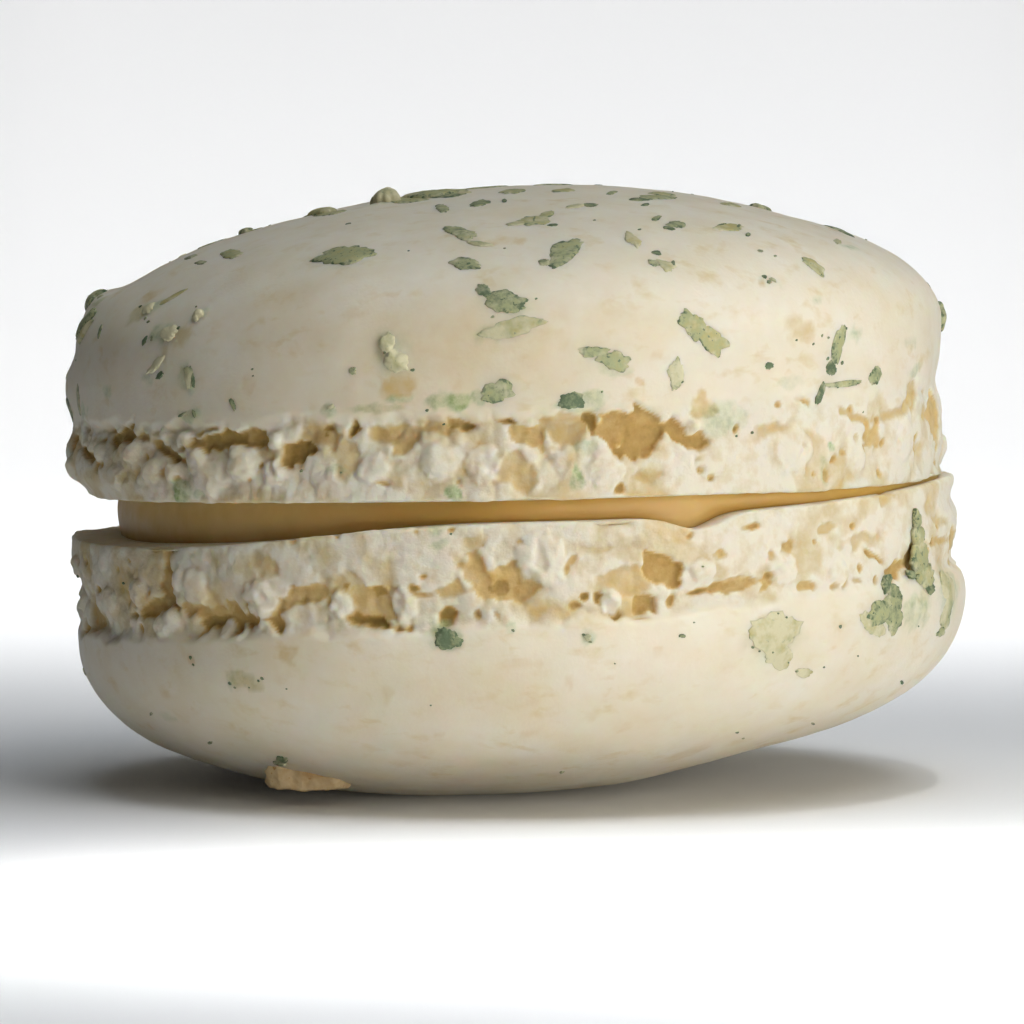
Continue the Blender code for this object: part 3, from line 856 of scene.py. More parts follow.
BOTTOM_CAVITIES = (
    Cavity(-139.1, 1.60, 0.46, 0.80, 0, 0.60, 0.80),
    Cavity(-142.0, 2.52, 1.35, 0.36, -15, 0.62, 0.84),
    Cavity(-146.2, 0.95, 0.40, 0.24, 20, 0.20, 0.45),
    Cavity(-146.0, 2.45, 0.10, 0.07, 0, 0.35, 0.80),
    Cavity(-131.6, 2.70, 1.60, 0.40, 3, 0.50, 0.66),
    Cavity(-132.4, 3.20, 0.72, 0.24, -6, 1.00, 1.00),
    Cavity(-126.0, 3.05, 1.50, 0.30, 0, 0.62, 0.84),
    Cavity(-118.6, 2.35, 1.25, 0.28, -5, 0.50, 0.62),
    Cavity(-120.4, 2.72, 0.95, 0.10, -14, 0.62, 0.80),
    Cavity(-121.6, 0.90, 0.50, 0.60, 0, 0.15, 0.36),
    Cavity(-117.7, 0.06, 0.16, 0.09, 0, 0.35, 0.70),
    Cavity(-111.7, -0.05, 0.09, 0.14, 0, 0.35, 0.75),
    Cavity(-108.6, 2.85, 1.40, 0.62, 6, 0.50, 0.56),
    Cavity(-111.3, 1.90, 0.70, 0.50, 10, 0.25, 0.42),
    Cavity(-108.2, 3.44, 1.22, 0.18, 9, 1.00, 1.00),
    Cavity(-101.1, 2.48, 0.42, 0.11, 5, 0.65, 0.84),
    Cavity(-98.2, 2.38, 0.85, 0.20, -6, 0.40, 0.56),
    Cavity(-98.9, 3.35, 0.22, 0.19, 0, 0.75, 0.92),
    Cavity(-101.5, 0.15, 0.10, 0.09, 0, 0.30, 0.65),
    Cavity(-97.5, 0.15, 0.09, 0.09, 0, 0.30, 0.80),
    Cavity(-91.2, 2.25, 1.35, 0.72, 4, 0.58, 0.62),
    Cavity(-95.0, 1.55, 0.38, 0.55, 10, 0.50, 0.60),
    Cavity(-87.6, 1.60, 0.30, 0.42, 15, 0.55, 0.64),
    Cavity(-92.1, 2.40, 0.32, 0.27, 15, 0.90, 0.86),
    Cavity(-95.0, 0.70, 0.30, 0.30, 0, 0.18, 0.42),
    Cavity(-83.4, 3.22, 0.22, 0.11, 20, 0.50, 0.72),
    Cavity(-79.0, 3.48, 0.52, 0.22, 40, 0.80, 0.84),
    Cavity(-74.2, 3.40, 0.46, 0.24, 8, 0.70, 0.78),
    Cavity(-75.5, 3.92, 0.42, 0.07, 3, 0.55, 0.78),
    Cavity(-76.6, 2.40, 1.00, 0.50, 0, 0.25, 0.45),
    Cavity(-72.3, 2.05, 0.82, 0.50, 24, 0.85, 0.82),
    Cavity(-79.3, 1.10, 0.60, 0.14, 0, 0.20, 0.48),
    Cavity(-60.0, 0.65, 0.26, 0.09, 8, 0.45, 0.85),
    Cavity(-67.3, 1.80, 0.06, 0.06, 0, 0.30, 1.00),
    Cavity(-64.5, 1.40, 0.22, 0.20, -30, 0.30, 0.58),
    Cavity(-55.0, 1.80, 0.32, 0.15, -35, 0.35, 0.66),
    Cavity(-67.5, 3.00, 0.38, 0.10, -10, 0.60, 0.86),
    Cavity(-64.0, 2.82, 0.48, 0.14, 0, 0.55, 0.76),
    Cavity(-61.4, 2.85, 0.95, 0.24, 3, 0.45, 0.62),
    Cavity(-57.5, 2.68, 0.42, 0.14, -20, 0.60, 0.80),
    Cavity(-52.0, 3.35, 0.32, 0.16, 0, 0.40, 0.66),
    Cavity(-48.0, 3.50, 0.26, 0.13, 0, 0.40, 0.62),
    Cavity(-43.5, 3.40, 0.26, 0.12, 0, 0.30, 0.56),
    Cavity(-48.2, 1.05, 0.48, 0.18, 0, 0.22, 0.56),
    Cavity(-42.5, 1.75, 1.10, 0.22, 0, 0.18, 0.42),
    Cavity(-39.8, 2.52, 0.68, 0.09, 24, 0.50, 0.78),
    Cavity(-34.5, 3.18, 1.00, 0.28, -12, 0.60, 0.72),
    Cavity(-36.4, 0.20, 0.50, 0.25, 0, 0.18, 0.48),
    Cavity(-22.0, 2.40, 1.30, 0.14, 3, 0.30, 0.56),
    Cavity(-20.0, 1.60, 1.00, 0.18, 0, 0.18, 0.44),
)


def scattered_cavities(shell, count, low, high):
    """Cavities like the listed ones, drawn for the stretch of bearings from low to high degrees."""
    draw = np.random.default_rng(shell.seed)
    made = []
    for bearing in np.linspace(low, high, count):
        deep = draw.random() < 0.5
        size = draw.uniform(0.5, 1.6)
        made.append(
            Cavity(
                bearing=bearing + draw.uniform(-4, 4),
                height=shell.foot_height * draw.uniform(0.62, 1.02),
                wide=size,
                tall=draw.uniform(0.25, 0.75) * (1.0 if deep else 1.25),
                turn=draw.uniform(-25, 25),
                depth=draw.uniform(0.8, 1.4) if deep else draw.uniform(0.35, 0.6),
                tone=draw.uniform(0.75, 1.0) if deep else draw.uniform(0.4, 0.6),
            )
        )
    return made


def pits(shell, count):
    """Small pinholes all round a foot, seeded."""
    draw = np.random.default_rng(shell.seed + 1)
    return [
        Cavity(
            bearing=draw.uniform(-180, 180),
            height=shell.foot_height * draw.uniform(0.1, 1.0),
            wide=draw.uniform(0.09, 0.22),
            tall=draw.uniform(0.07, 0.16),
            turn=draw.uniform(-60, 60),
            depth=draw.uniform(0.25, 0.5),
            tone=draw.uniform(0.6, 0.95),
        )
        for _ in range(count)
    ]


def carve(shell, points, bearing, cavities, scallop):
    """Depth and tone of the cavities at each point. Inside distance is one less the ellipse
    radius, times the shorter half length; the scallops are taken off it, so that lumps bite into the
    edge, and depth and tone rise steeply from where it passes zero. Returns (depth, tone)."""
    where = points + shell.seed
    warp_a = 0.32 * noise(where, 1.1, 11) + 0.15 * noise(where, 0.45, 12) + 0.05 * noise(where, 0.2, 15)
    warp_b = 0.26 * noise(where, 1.0, 13) + 0.14 * noise(where, 0.4, 14) + 0.05 * noise(where, 0.2, 16)
    radius = np.hypot(points[..., 0], points[..., 1])
    depth = np.zeros(points.shape[:-1])
    tone = np.zeros(points.shape[:-1])
    bearing = bearing + 0 * radius
    for cavity in cavities:
        off = (bearing - math.radians(cavity.bearing) + math.pi) % (2 * math.pi) - math.pi
        reach = math.radians((cavity.wide + cavity.tall + 0.8) / shell.foot_radius * 57.3)
        near = np.nonzero(np.abs(off[:, 0]) < reach)[0]
        if len(near) == 0:
            continue
        least = min(cavity.wide, cavity.tall)
        calm = min(1.0, least / 0.3)
        along = off[near] * radius[near] + calm * warp_a[near]
        above = points[near, :, 2] - cavity.height + calm * warp_b[near]
        turn = math.radians(cavity.turn)
        p = (along * math.cos(turn) + above * math.sin(turn)) / cavity.wide
        q = (above * math.cos(turn) - along * math.sin(turn)) / cavity.tall
        inside = (1 - np.hypot(p, q)) * least
        inside = inside - calm * scallop[near]
        inside[radius[near] < shell.foot_radius - 1.0] = -1
        # painted shade, in part: the tone climbs into each hole, so deep holes darken towards their middles
        if cavity.tone < 0.55:
            cut = 0.55 * smooth(inside, -0.16, 0.26)
            shade = smooth(inside, -0.14, 0.16)
        else:
            cut = 0.46 * smooth(inside, -0.13, 0.17) * (0.85 + 0.15 * smooth(inside, 0, 0.4))
            shade = smooth(inside, -0.06, 0.07)
        depth[near] = np.maximum(depth[near], cut * cavity.depth)
        tone[near] = np.maximum(tone[near], shade * cavity.tone)
    return depth, tone


# Meshes -----------------------------------------------------------------------------------------


def grid_faces(columns, rings):
    """Four-cornered faces of a grid whose columns run right round."""
    i = np.arange(columns)[:, None]
    j = np.arange(rings - 1)[None, :]
    after = (i + 1) % columns
    corners = [i * rings + j, after * rings + j, after * rings + j + 1, i * rings + j + 1]
    return np.stack(corners, -1).reshape(-1, 4)


def add_piece(name, vertices, faces, material, attributes=()):
    """A smooth mesh piece from arrays of points in mm and of faces, riding on the biscuit's body.
    faces is a list of arrays, one for each number of corners; attributes are (name, values)."""
    mesh = bpy.data.meshes.new(name)
    counts = np.concatenate([np.full(len(f), f.shape[1]) for f in faces])
    corners = np.concatenate([f.ravel() for f in faces])
    mesh.vertices.add(len(vertices))
    mesh.vertices.foreach_set("co", (vertices * MM).astype(np.float32).ravel())
    mesh.loops.add(len(corners))
    mesh.loops.foreach_set("vertex_index", corners.astype(np.int32))
    mesh.polygons.add(len(counts))
    starts = np.concatenate([[0], np.cumsum(counts)[:-1]])
    mesh.polygons.foreach_set("loop_start", starts.astype(np.int32))
    mesh.update(calc_edges=True)
    mesh.validate()
    for label, values in attributes:
        layer = mesh.attributes.new(label, "FLOAT", "POINT")
        layer.data.foreach_set("value", np.asarray(values, np.float32).ravel())
    mesh.shade_smooth()
    mesh.materials.append(material)
    piece = bpy.data.objects.new(name, mesh)
    bpy.context.scene.collection.objects.link(piece)
    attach(piece, BODY)
    return piece


# Materials --------------------------------------------------------------------------------------


def new_node(tree, kind, values=(), **settings):
    """A node with its settings made, and its inputs filled or linked by name."""
    node = tree.nodes.new(kind)
    for key, value in settings.items():
        setattr(node, key, value)
    for key, value in dict(values).items():
        if isinstance(value, bpy.types.NodeSocket):
            tree.links.new(value, node.inputs[key])
        else:
            node.inputs[key].default_value = value
    return node


def new_group(name, inputs, outputs):
    """An empty shader node group with named sockets, and its two ends."""
    group = bpy.data.node_groups.new(name, "ShaderNodeTree")
    for label, kind, value in inputs:
        socket = group.interface.new_socket(label, in_out="INPUT", socket_type=kind)
        socket.default_value = value
    for label, kind in outputs:
        group.interface.new_socket(label, in_out="OUTPUT", socket_type=kind)
    return group, group.nodes.new("NodeGroupInput"), group.nodes.new("NodeGroupOutput")


FLOAT, COLOR = "NodeSocketFloat", "NodeSocketColor"


def texture_noise(tree, size_mm, detail=2.0, rough=0.5, warp=0.0, stretch=None):
    """Noise on object coordinates with bumps of about this size, packed by the stretch along an axis."""
    where = new_node(tree, "ShaderNodeTexCoord").outputs["Object"]
    if stretch:
        where = new_node(tree, "ShaderNodeMapping", {"Vector": where, "Scale": stretch}).outputs["Vector"]
    values = {"Vector": where, "Scale": 1 / (size_mm * MM), "Detail": detail, "Roughness": rough}
    return new_node(tree, "ShaderNodeTexNoise", {**values, "Distortion": warp}).outputs["Fac"]


def remap(tree, value, low, high, to_low=0.0, to_high=1.0):
    values = {"Value": value, "From Min": low, "From Max": high, "To Min": to_low, "To Max": to_high}
    return new_node(tree, "ShaderNodeMapRange", values).outputs["Result"]


def mix_colour(tree, share, first, second):
    node = new_node(tree, "ShaderNodeMix", data_type="RGBA")
    for socket, value in ((node.inputs[0], share), (node.inputs[6], first), (node.inputs[7], second)):
        if isinstance(value, bpy.types.NodeSocket):
            tree.links.new(value, socket)
        else:
            socket.default_value = value
    return node.outputs[2]


def calculate(tree, operation, first, second=0.0):
    node = new_node(tree, "ShaderNodeMath", operation=operation)
    for socket, value in zip(node.inputs, (first, second)):
        if isinstance(value, bpy.types.NodeSocket):
            tree.links.new(value, socket)
        else:
            socket.default_value = value
    return node.outputs["Value"]


def attribute(tree, name):
    return new_node(tree, "ShaderNodeAttribute", attribute_name=name).outputs["Fac"]


def skin_group(settings):
    """Colour and height of the plain skin: a cream with faint ochre blotches and fine grain."""
    group, start, end = new_group(
        "meringue_skin",
        [("Cream", COLOR, (*settings.skin_colour, 1)), ("Blotch", COLOR, (*settings.blotch_colour, 1))],
        [("Color", COLOR), ("Height", FLOAT)],
    )
    broad = remap(group, texture_noise(group, 3.0, 4.0, 0.6), 0.32, 0.72, 0.0, 0.46)
    small = remap(group, texture_noise(group, 1.1, 3.0, 0.55, 0.25, (1, 1, 1.6)), 0.53, 0.74, 0.0, 0.68)
    small = calculate(group, "MULTIPLY", small, remap(group, texture_noise(group, 2.5), 0.36, 0.6))
    share = calculate(group, "ADD", broad, small)
    colour = mix_colour(group, share, start.outputs["Cream"], start.outputs["Blotch"])
    grain = texture_noise(group, 0.16, 3.0)
    group.links.new(colour, end.inputs["Color"])
    group.links.new(grain, end.inputs["Height"])
    return group


def meringue_material(name, settings, skin):
    """Skin, crumb, membrane and hole in one material, mixed by the tone and crumb attributes."""
    material = bpy.data.materials.new(name)
    material.use_nodes = True
    tree = material.node_tree
    shader = tree.nodes["Principled BSDF"]
    plain = new_node(tree, "ShaderNodeGroup", node_tree=skin)
    plain.inputs["Cream"].default_value = (*settings.skin_colour, 1)
    plain.inputs["Blotch"].default_value = (*settings.blotch_colour, 1)
    tone, crumb = attribute(tree, "tone"), attribute(tree, "crumb")
    ragged = remap(tree, texture_noise(tree, 0.9, 5.0, 0.62), 0.3, 0.7, -0.16, 0.16)
    tone = calculate(tree, "ADD", tone, calculate(tree, "MULTIPLY", ragged, crumb))
    ramp = new_node(tree, "ShaderNodeValToRGB", {"Fac": tone})
    # from the crumb hollows on, the ramp paints shade: tone rising in dips and holes gives darker colours
    stops = (
        (0.0, settings.crumb_peak_colour),
        (0.10, settings.crumb_colour),
        (0.30, settings.crumb_shade_colour),
        (0.55, settings.membrane_colour),
        (0.80, settings.hole_tan_and_shade_colour),
        (1.0, settings.deep_hole_tan_and_shade_colour),
    )
    while len(ramp.color_ramp.elements) < len(stops):
        ramp.color_ramp.elements.new(0.5)
    for element, (position, colour) in zip(ramp.color_ramp.elements, stops):
        element.position = position
        element.color = (*colour, 1)
    colour = mix_colour(tree, crumb, plain.outputs["Color"], ramp.outputs["Color"])
    speckle = remap(tree, texture_noise(tree, 0.4, 4.0, 0.65), 0.42, 0.66)
    green = mix_colour(tree, speckle, (*settings.stain_colour, 1), (*settings.stain_dark_colour, 1))
    uneven = remap(tree, texture_noise(tree, 0.7, 3.0), 0.3, 0.7, 0.55, 1.35)
    for name, patch in (("green", green), ("ochre", (*settings.membrane_colour, 1))):
        share = calculate(tree, "MULTIPLY", attribute(tree, name), uneven)
        colour = mix_colour(tree, share, colour, patch)
    tree.links.new(colour, shader.inputs["Base Color"])
    fine = texture_noise(tree, 0.22, 4.0, 0.6)
    height = mix_value(tree, crumb, plain.outputs["Height"], calculate(tree, "MULTIPLY", fine, 4.0))
    bump = new_node(tree, "ShaderNodeBump", {"Height": height, "Strength": 1.0, "Distance": 0.012 * MM})
    tree.links.new(bump.outputs["Normal"], shader.inputs["Normal"])
    tree.links.new(remap(tree, crumb, 0, 1, 0.52, 0.72), shader.inputs["Roughness"])
    shader.inputs["Subsurface Weight"].default_value = 0.5
    shader.inputs["Subsurface Radius"].default_value = (1.0, 0.62, 0.28)
    shader.inputs["Subsurface Scale"].default_value = 1.1 * MM
    shader.inputs["Specular IOR Level"].default_value = 0.35
    return material


def mix_value(tree, share, first, second):
    """first where share is 0 and second where it is 1."""
    kept = calculate(tree, "MULTIPLY", first, calculate(tree, "SUBTRACT", 1.0, share))
    return calculate(tree, "ADD", kept, calculate(tree, "MULTIPLY", second, share))


def filling_material(settings):
    material = bpy.data.materials.new("cream_filling")
    material.use_nodes = True
    tree = material.node_tree
    shader = tree.nodes["Principled BSDF"]
    share = remap(tree, texture_noise(tree, 1.6, 3.0), 0.35, 0.7)
    colour = mix_colour(tree, share, (*settings.filling_colour, 1), (*settings.filling_dark_colour, 1))
    # painted shade: darker, deeper cream where the gap between the shells is narrow
    colour = mix_colour(tree, attribute(tree, "gap_shade"), colour, (*settings.filling_gap_shade_colour, 1))
    tree.links.new(colour, shader.inputs["Base Color"])
    height = texture_noise(tree, 0.35, 3.0)
    bump = new_node(tree, "ShaderNodeBump", {"Height": height, "Strength": 1.0, "Distance": 0.01 * MM})
    tree.links.new(bump.outputs["Normal"], shader.inputs["Normal"])
    rough = remap(tree, texture_noise(tree, 0.8), 0.3, 0.7, 0.38, 0.55)
    tree.links.new(rough, shader.inputs["Roughness"])
    shader.inputs["Subsurface Weight"].default_value = 0.5
    shader.inputs["Subsurface Radius"].default_value = (1.0, 0.55, 0.2)
    shader.inputs["Subsurface Scale"].default_value = 1.5 * MM
    return material


# Settings ---------------------------------------------------------------------------------------


def colour_setting(name, description, default):
    return FloatVectorProperty(
        name=name, description=description, default=default, subtype="COLOR", size=3, min=0, max=1
    )


class MacaronShellSettings(PropertyGroup):
    """Colours and fineness of the two shells."""

    skin_colour: colour_setting("Skin", "Smooth skin of the domes", (0.83, 0.77, 0.63))
    blotch_colour: colour_setting("Blotch", "Faint blotches in the skin", (0.70, 0.57, 0.32))
    crumb_colour: colour_setting("Crumb", "Raised crumb of the feet", (0.74, 0.655, 0.48))
    crumb_peak_colour: colour_setting("Crumb peaks", "White tops of the crumb", (0.79, 0.73, 0.59))
    # painted shade: the colour the crumb takes in the dips between lumps
    crumb_shade_colour: colour_setting("Crumb hollows", "Dips between lumps", (0.65, 0.54, 0.33))
    membrane_colour: colour_setting("Membrane", "Thin tan walls in the feet", (0.64, 0.46, 0.20))
    # partly the holes' own tan and partly painted shade, darkest at the bottoms of the deepest holes
    hole_tan_and_shade_colour: colour_setting("Hole", "Deep holes in the feet", (0.50, 0.32, 0.10))
    deep_hole_tan_and_shade_colour: colour_setting("Deepest hole", "Bottoms of the deepest holes", (0.36, 0.23, 0.06))
    stain_colour: colour_setting("Stain", "Green where a flake shows through", (0.52, 0.57, 0.33))
    stain_dark_colour: colour_setting("Dark stain", "Darker parts of a stain", (0.23, 0.33, 0.13))
    columns: IntProperty(
        name="Columns", description="Points round a foot", default=1440, min=200, max=2000
    )


class MacaronFillingSettings(PropertyGroup):
    """Colours and size of the filling."""

    filling_colour: colour_setting("Cream", "Cream of the filling", (0.72, 0.49, 0.19))
    # painted shade where the gap between the shells is narrow
    filling_gap_shade_colour: colour_setting("Narrow stretch", "Where the gap closes", (0.60, 0.34, 0.07))
    filling_dark_colour: colour_setting("Dark cream", "Darker streaks in it", (0.65, 0.43, 0.145))
    radius: FloatProperty(
        name="Radius", description="Radius of the layer", default=17.2 * MM, unit="LENGTH"
    )


class MacaronHerbSettings(PropertyGroup):
    """Colours and number of the flakes."""

    dark_colour: colour_setting("Dark leaf", "Darkest flakes", (0.10, 0.14, 0.07))
    leaf_colour: colour_setting("Leaf", "Grey green flakes", (0.36, 0.375, 0.195))
    olive_colour: colour_setting("Olive", "Olive flakes", (0.46, 0.39, 0.155))
    film_colour: colour_setting("Film", "Meringue over the flakes", (0.64, 0.59, 0.38))
    toast_colour: colour_setting("Toast", "Toasted batter", (0.62, 0.46, 0.24))
    toast_dark_colour: colour_setting("Dark toast", "Browned rims and spots", (0.46, 0.24, 0.07))
    scattered: IntProperty(
        name="Scattered flakes", description="Flakes on each shell's back", default=60, min=0, max=300
    )


class MacaronStageSettings(PropertyGroup):
    """The floor and the lights."""

    floor_colour: colour_setting("Floor", "Seamless paper", (0.88, 0.88, 0.88))
    key_power: FloatProperty(name="Key power", description="Power of the key light", default=0.63, unit="POWER")


# Pieces -----------------------------------------------------------------------------------------

RIM_ROUND = 0.14  # radius of the edge between a foot's outside and its underside
LEDGE = 15.6  # radius of the innermost ring under a shell
SKIN_RINGS = 92


def foot_path(shell):
    """(radius, height) path out along a shell's underside, round the rim and up the foot and the lip to
    the seam."""
    edge = shell.foot_radius - RIM_ROUND
    under = np.stack([np.linspace(LEDGE, edge, 13)[:-1], np.zeros(12)], -1)
    turn = np.linspace(-math.pi / 2, 0, 5)
    corner = np.stack([edge + RIM_ROUND * np.cos(turn), RIM_ROUND + RIM_ROUND * np.sin(turn)], -1)
    wall_h = np.linspace(RIM_ROUND, shell.seam, 56)[1:]
    plain = meridian(shell, 0)
    skin_r = np.interp(wall_h, plain[:, 1], plain[:, 0])
    blend = smooth(wall_h, shell.foot_height - 0.3, shell.foot_height + 0.4)
    wall = np.stack([shell.foot_radius + (skin_r - shell.foot_radius) * blend, wall_h], -1)
    return np.concatenate([under, corner, wall])


def foot_surface(shell, columns):
    """The foot's points and its tone and crumb values.

    Each point moves along its outward normal by the skin's relief plus, below the ragged lip, the crumb:
    lumps of three sizes, each smaller one lower, with fine noise, set back under the lip by a step
    that fades out down the foot, less the depth of the cavities. The crumb thins out on the rim, which
    baked flat. Tone is 0 on raised crumb and grows in valleys and cavities: in the valleys between lumps
    it is painted shade, and in the holes partly their own tan and partly painted shade."""
    path = foot_path(shell)
    points, bearing = turned(path, columns)
    normals = outward(path_normals(path), bearing)
    where = points + (0, 0, shell.seed)
    height = points[..., 2]
    radius = np.hypot(points[..., 0], points[..., 1])
    lip = shell.foot_height + 0.05 + 0.34 * noise(where, 1.9, 21) + 0.20 * noise(where, 0.7, 22)
    crumb = 1 - smooth(height, lip - 0.22, lip + 0.34)
    outside = smooth(radius, shell.foot_radius - 0.35, shell.foot_radius - 0.05)
    from_rim = smooth(height, -0.10, 0.10) * outside
    bent = where + 0.22 * np.stack([noise(where, 1.1, 25), noise(where, 1.1, 26), noise(where, 1.1, 27)], -1)
    big = lumps(bent, 1.55, 31, 0.16)
    middle = lumps(bent, 0.80, 34, 0.14)
    small = lumps(where, 0.40, 37, 0.12)
    grain = layered(where, 0.26, 41, 2, 0.6)
    rough = np.clip(0.8 + 0.9 * noise(where, 4.0, 23), 0.35, 1.2)
    rough = rough * (1 - 0.45 * smooth(-np.abs(bearing + 0.4), -0.9, -0.5))
    relief = rough * (0.34 * (big + 0.20) + 0.20 * (middle + 0.17) + 0.12 * (small + 0.17)) + 0.020 * grain
    relief = np.maximum(relief, -0.32)
    knobs = knobbed(shell, points)
    step = 0.30 * smooth(noise(where * (1, 1, 0.2), 4.2, 24), -0.4, 0.3)
    step = step * (1 - 0.8 * smooth(-np.abs(bearing + 0.7), -0.45, -0.25))
    step = step * np.exp(-((np.maximum(lip - height, 0) / 1.2) ** 2))
    cavities = TOP_CAVITIES if shell.up > 0 else BOTTOM_CAVITIES
    cavities = [*cavities, *scattered_cavities(shell, 30, -12, 200), *pits(shell, 110)]
    scallop = 0.50 * (middle + 0.17) + 0.30 * (small + 0.15)
    depth, tone = carve(shell, points, bearing, cavities, scallop)
    keep = 1 - 0.85 * smooth(depth, 0.10, 0.40)
    floor_wave = 0.07 * noise(where, 0.9, 43) * smooth(depth, 0.2, 0.5)
    shift = skin_relief(shell, points) * outside
    shift = shift + crumb * (relief * keep * from_rim - step * outside) + floor_wave - depth
    shift = shift + knobs * from_rim
    # painted shade: the tone rises where the crumb dips between lumps, darkening the hollows
    dip_shade = smooth(-relief * keep - 0.8 * knobs, 0.0, 0.24)
    patch = smooth(noise(where, 2.2, 44) + 0.5 * noise(where, 0.8, 45), 0.05, 0.5)
    tone = tone * (1 - smooth(knobs, 0.05, 0.2))
    tone = np.maximum(tone, crumb * outside * (0.32 * dip_shade + 0.26 * patch * (1 - smooth(knobs, 0.03, 0.15))))
    crumb = np.maximum(crumb, smooth(depth, 0.05, 0.2))
    crumb = np.maximum(crumb, smooth(knobs, 0.02, 0.1))
    moved = points + normals * shift[..., None]
    tuck = np.zeros_like(radius)
    for middle_at, wide, reach, size in shell.tucks:
        tuck += bumps(bearing, [(middle_at, wide, size)]) * np.exp(-((np.maximum(height, 0) / reach) ** 2))
    share = 1 - tuck * smooth(radius, LEDGE, shell.foot_radius - 0.6) / radius
    moved[..., :2] *= share[..., None]
    return moved, tone, crumb


def knobbed(shell, points):
    """Height of the round crumbs: for each, its size times sqrt(1 - distance^2 / radius^2), with the
    distance roughened, and the greatest of them taken."""
    draw = np.random.default_rng(shell.seed + 3)
    made = [
        (draw.uniform(-8, 195), draw.uniform(0.9, 3.3), draw.uniform(0.3, 0.8), draw.uniform(0.16, 0.34))
        for _ in range(44)
    ]
    where = points + shell.seed
    ragged = 0.22 * noise(where, 0.5, 28) + 0.12 * noise(where, 0.25, 29)
    bearing = np.arctan2(points[..., 1], points[..., 0])
    total = np.zeros(points.shape[:-1])
    for middle, height, radius, size in (*shell.knobs, *made):
        off = (bearing - math.radians(middle) + math.pi) % (2 * math.pi) - math.pi
        distance = np.hypot(off * shell.foot_radius, points[..., 2] - height) / radius + ragged
        total = np.maximum(total, size * np.sqrt(np.clip(1 - distance**2, 0, 1)))
    return total * smooth(np.hypot(points[..., 0], points[..., 1]), shell.foot_radius - 0.3, shell.foot_radius)


def dome_surface(shell, columns):
    """The plain skin's points from the ring above the seam to the last before the crown, and the crown:
    the meridian carried round the axis, moved along its normals by the skin's relief."""
    path = spaced(meridian(shell, shell.seam), np.linspace(0, 1, SKIN_RINGS))
    path[-1, 0] = 0
    grid, bearing = turned(path[1:-1], columns)
    normals = outward(path_normals(path)[1:-1], bearing)
    grid = grid + normals * skin_relief(shell, grid)[..., None]
    crown = np.array([0, 0, path[-1, 1]])
    return grid, crown + (0, 0, skin_relief(shell, crown[None])[0])


def halving_faces(outer, inner):
    """Triangles between a ring of point numbers and one of half as many, three to each inner step."""
    after = np.roll(inner, -1)
    even, odd, next_even = outer[0::2], outer[1::2], np.roll(outer[0::2], -1)
    return np.concatenate(
        [
            np.stack([even, odd, inner], -1),
            np.stack([odd, after, inner], -1),
            np.stack([odd, next_even, after], -1),
        ]
    )


def build_shell(shell, settings, material):
    """One closed surface: an underside, the foot, and a skin with half as many columns."""
    columns = settings.columns
    foot, tone, crumb = foot_surface(shell, columns)
    dome, crown = dome_surface(shell, columns // 2)
    rings, dome_rings = foot.shape[1], dome.shape[1]
    middle = np.array([0, 0, 0.0])
    vertices = np.concatenate([foot.reshape(-1, 3), dome.reshape(-1, 3), [crown, middle]])
    dome_start = columns * rings
    crown_at, middle_at = len(vertices) - 2, len(vertices) - 1
    every, half = np.arange(columns), np.arange(columns // 2)
    foot_quads = grid_faces(columns, rings)
    dome_quads = grid_faces(columns // 2, dome_rings) + dome_start
    dome_first = dome_start + half * dome_rings
    dome_last = dome_first + dome_rings - 1
    seam = halving_faces(every * rings + rings - 1, dome_first)
    cap = np.stack([dome_last, np.roll(dome_last, -1), np.full(columns // 2, crown_at)], -1)
    under = every * rings
    base = np.stack([np.roll(under, -1), under, np.full(columns, middle_at)], -1)
    faces = [foot_quads, dome_quads, np.concatenate([seam, cap, base])]
    if shell.up < 0:
        faces = [f[:, ::-1] for f in faces]
    world = place(shell, vertices)
    world[:, 2] = np.maximum(world[:, 2], 0)
    rest = np.zeros(len(vertices) - dome_start)
    tone = np.concatenate([tone.ravel(), rest])
    crumb = np.concatenate([crumb.ravel(), rest])
    green, ochre = stained_and_painted_light(shell, vertices)[:2]
    attributes = (("tone", tone), ("crumb", crumb), ("green", green), ("ochre", ochre))
    piece = add_piece(shell.node + "_meringue", world, faces, material, attributes)
    return piece


FILLING_BULGES = (
    (-69, 9, 0.5),
    (-88, 16, 0.9),
    (-40, 26, 1.7),
    (-6, 18, 1.2),
    (40, 30, 0.5),
    (100, 25, 0.5),
    (150, 20, -0.3),
)


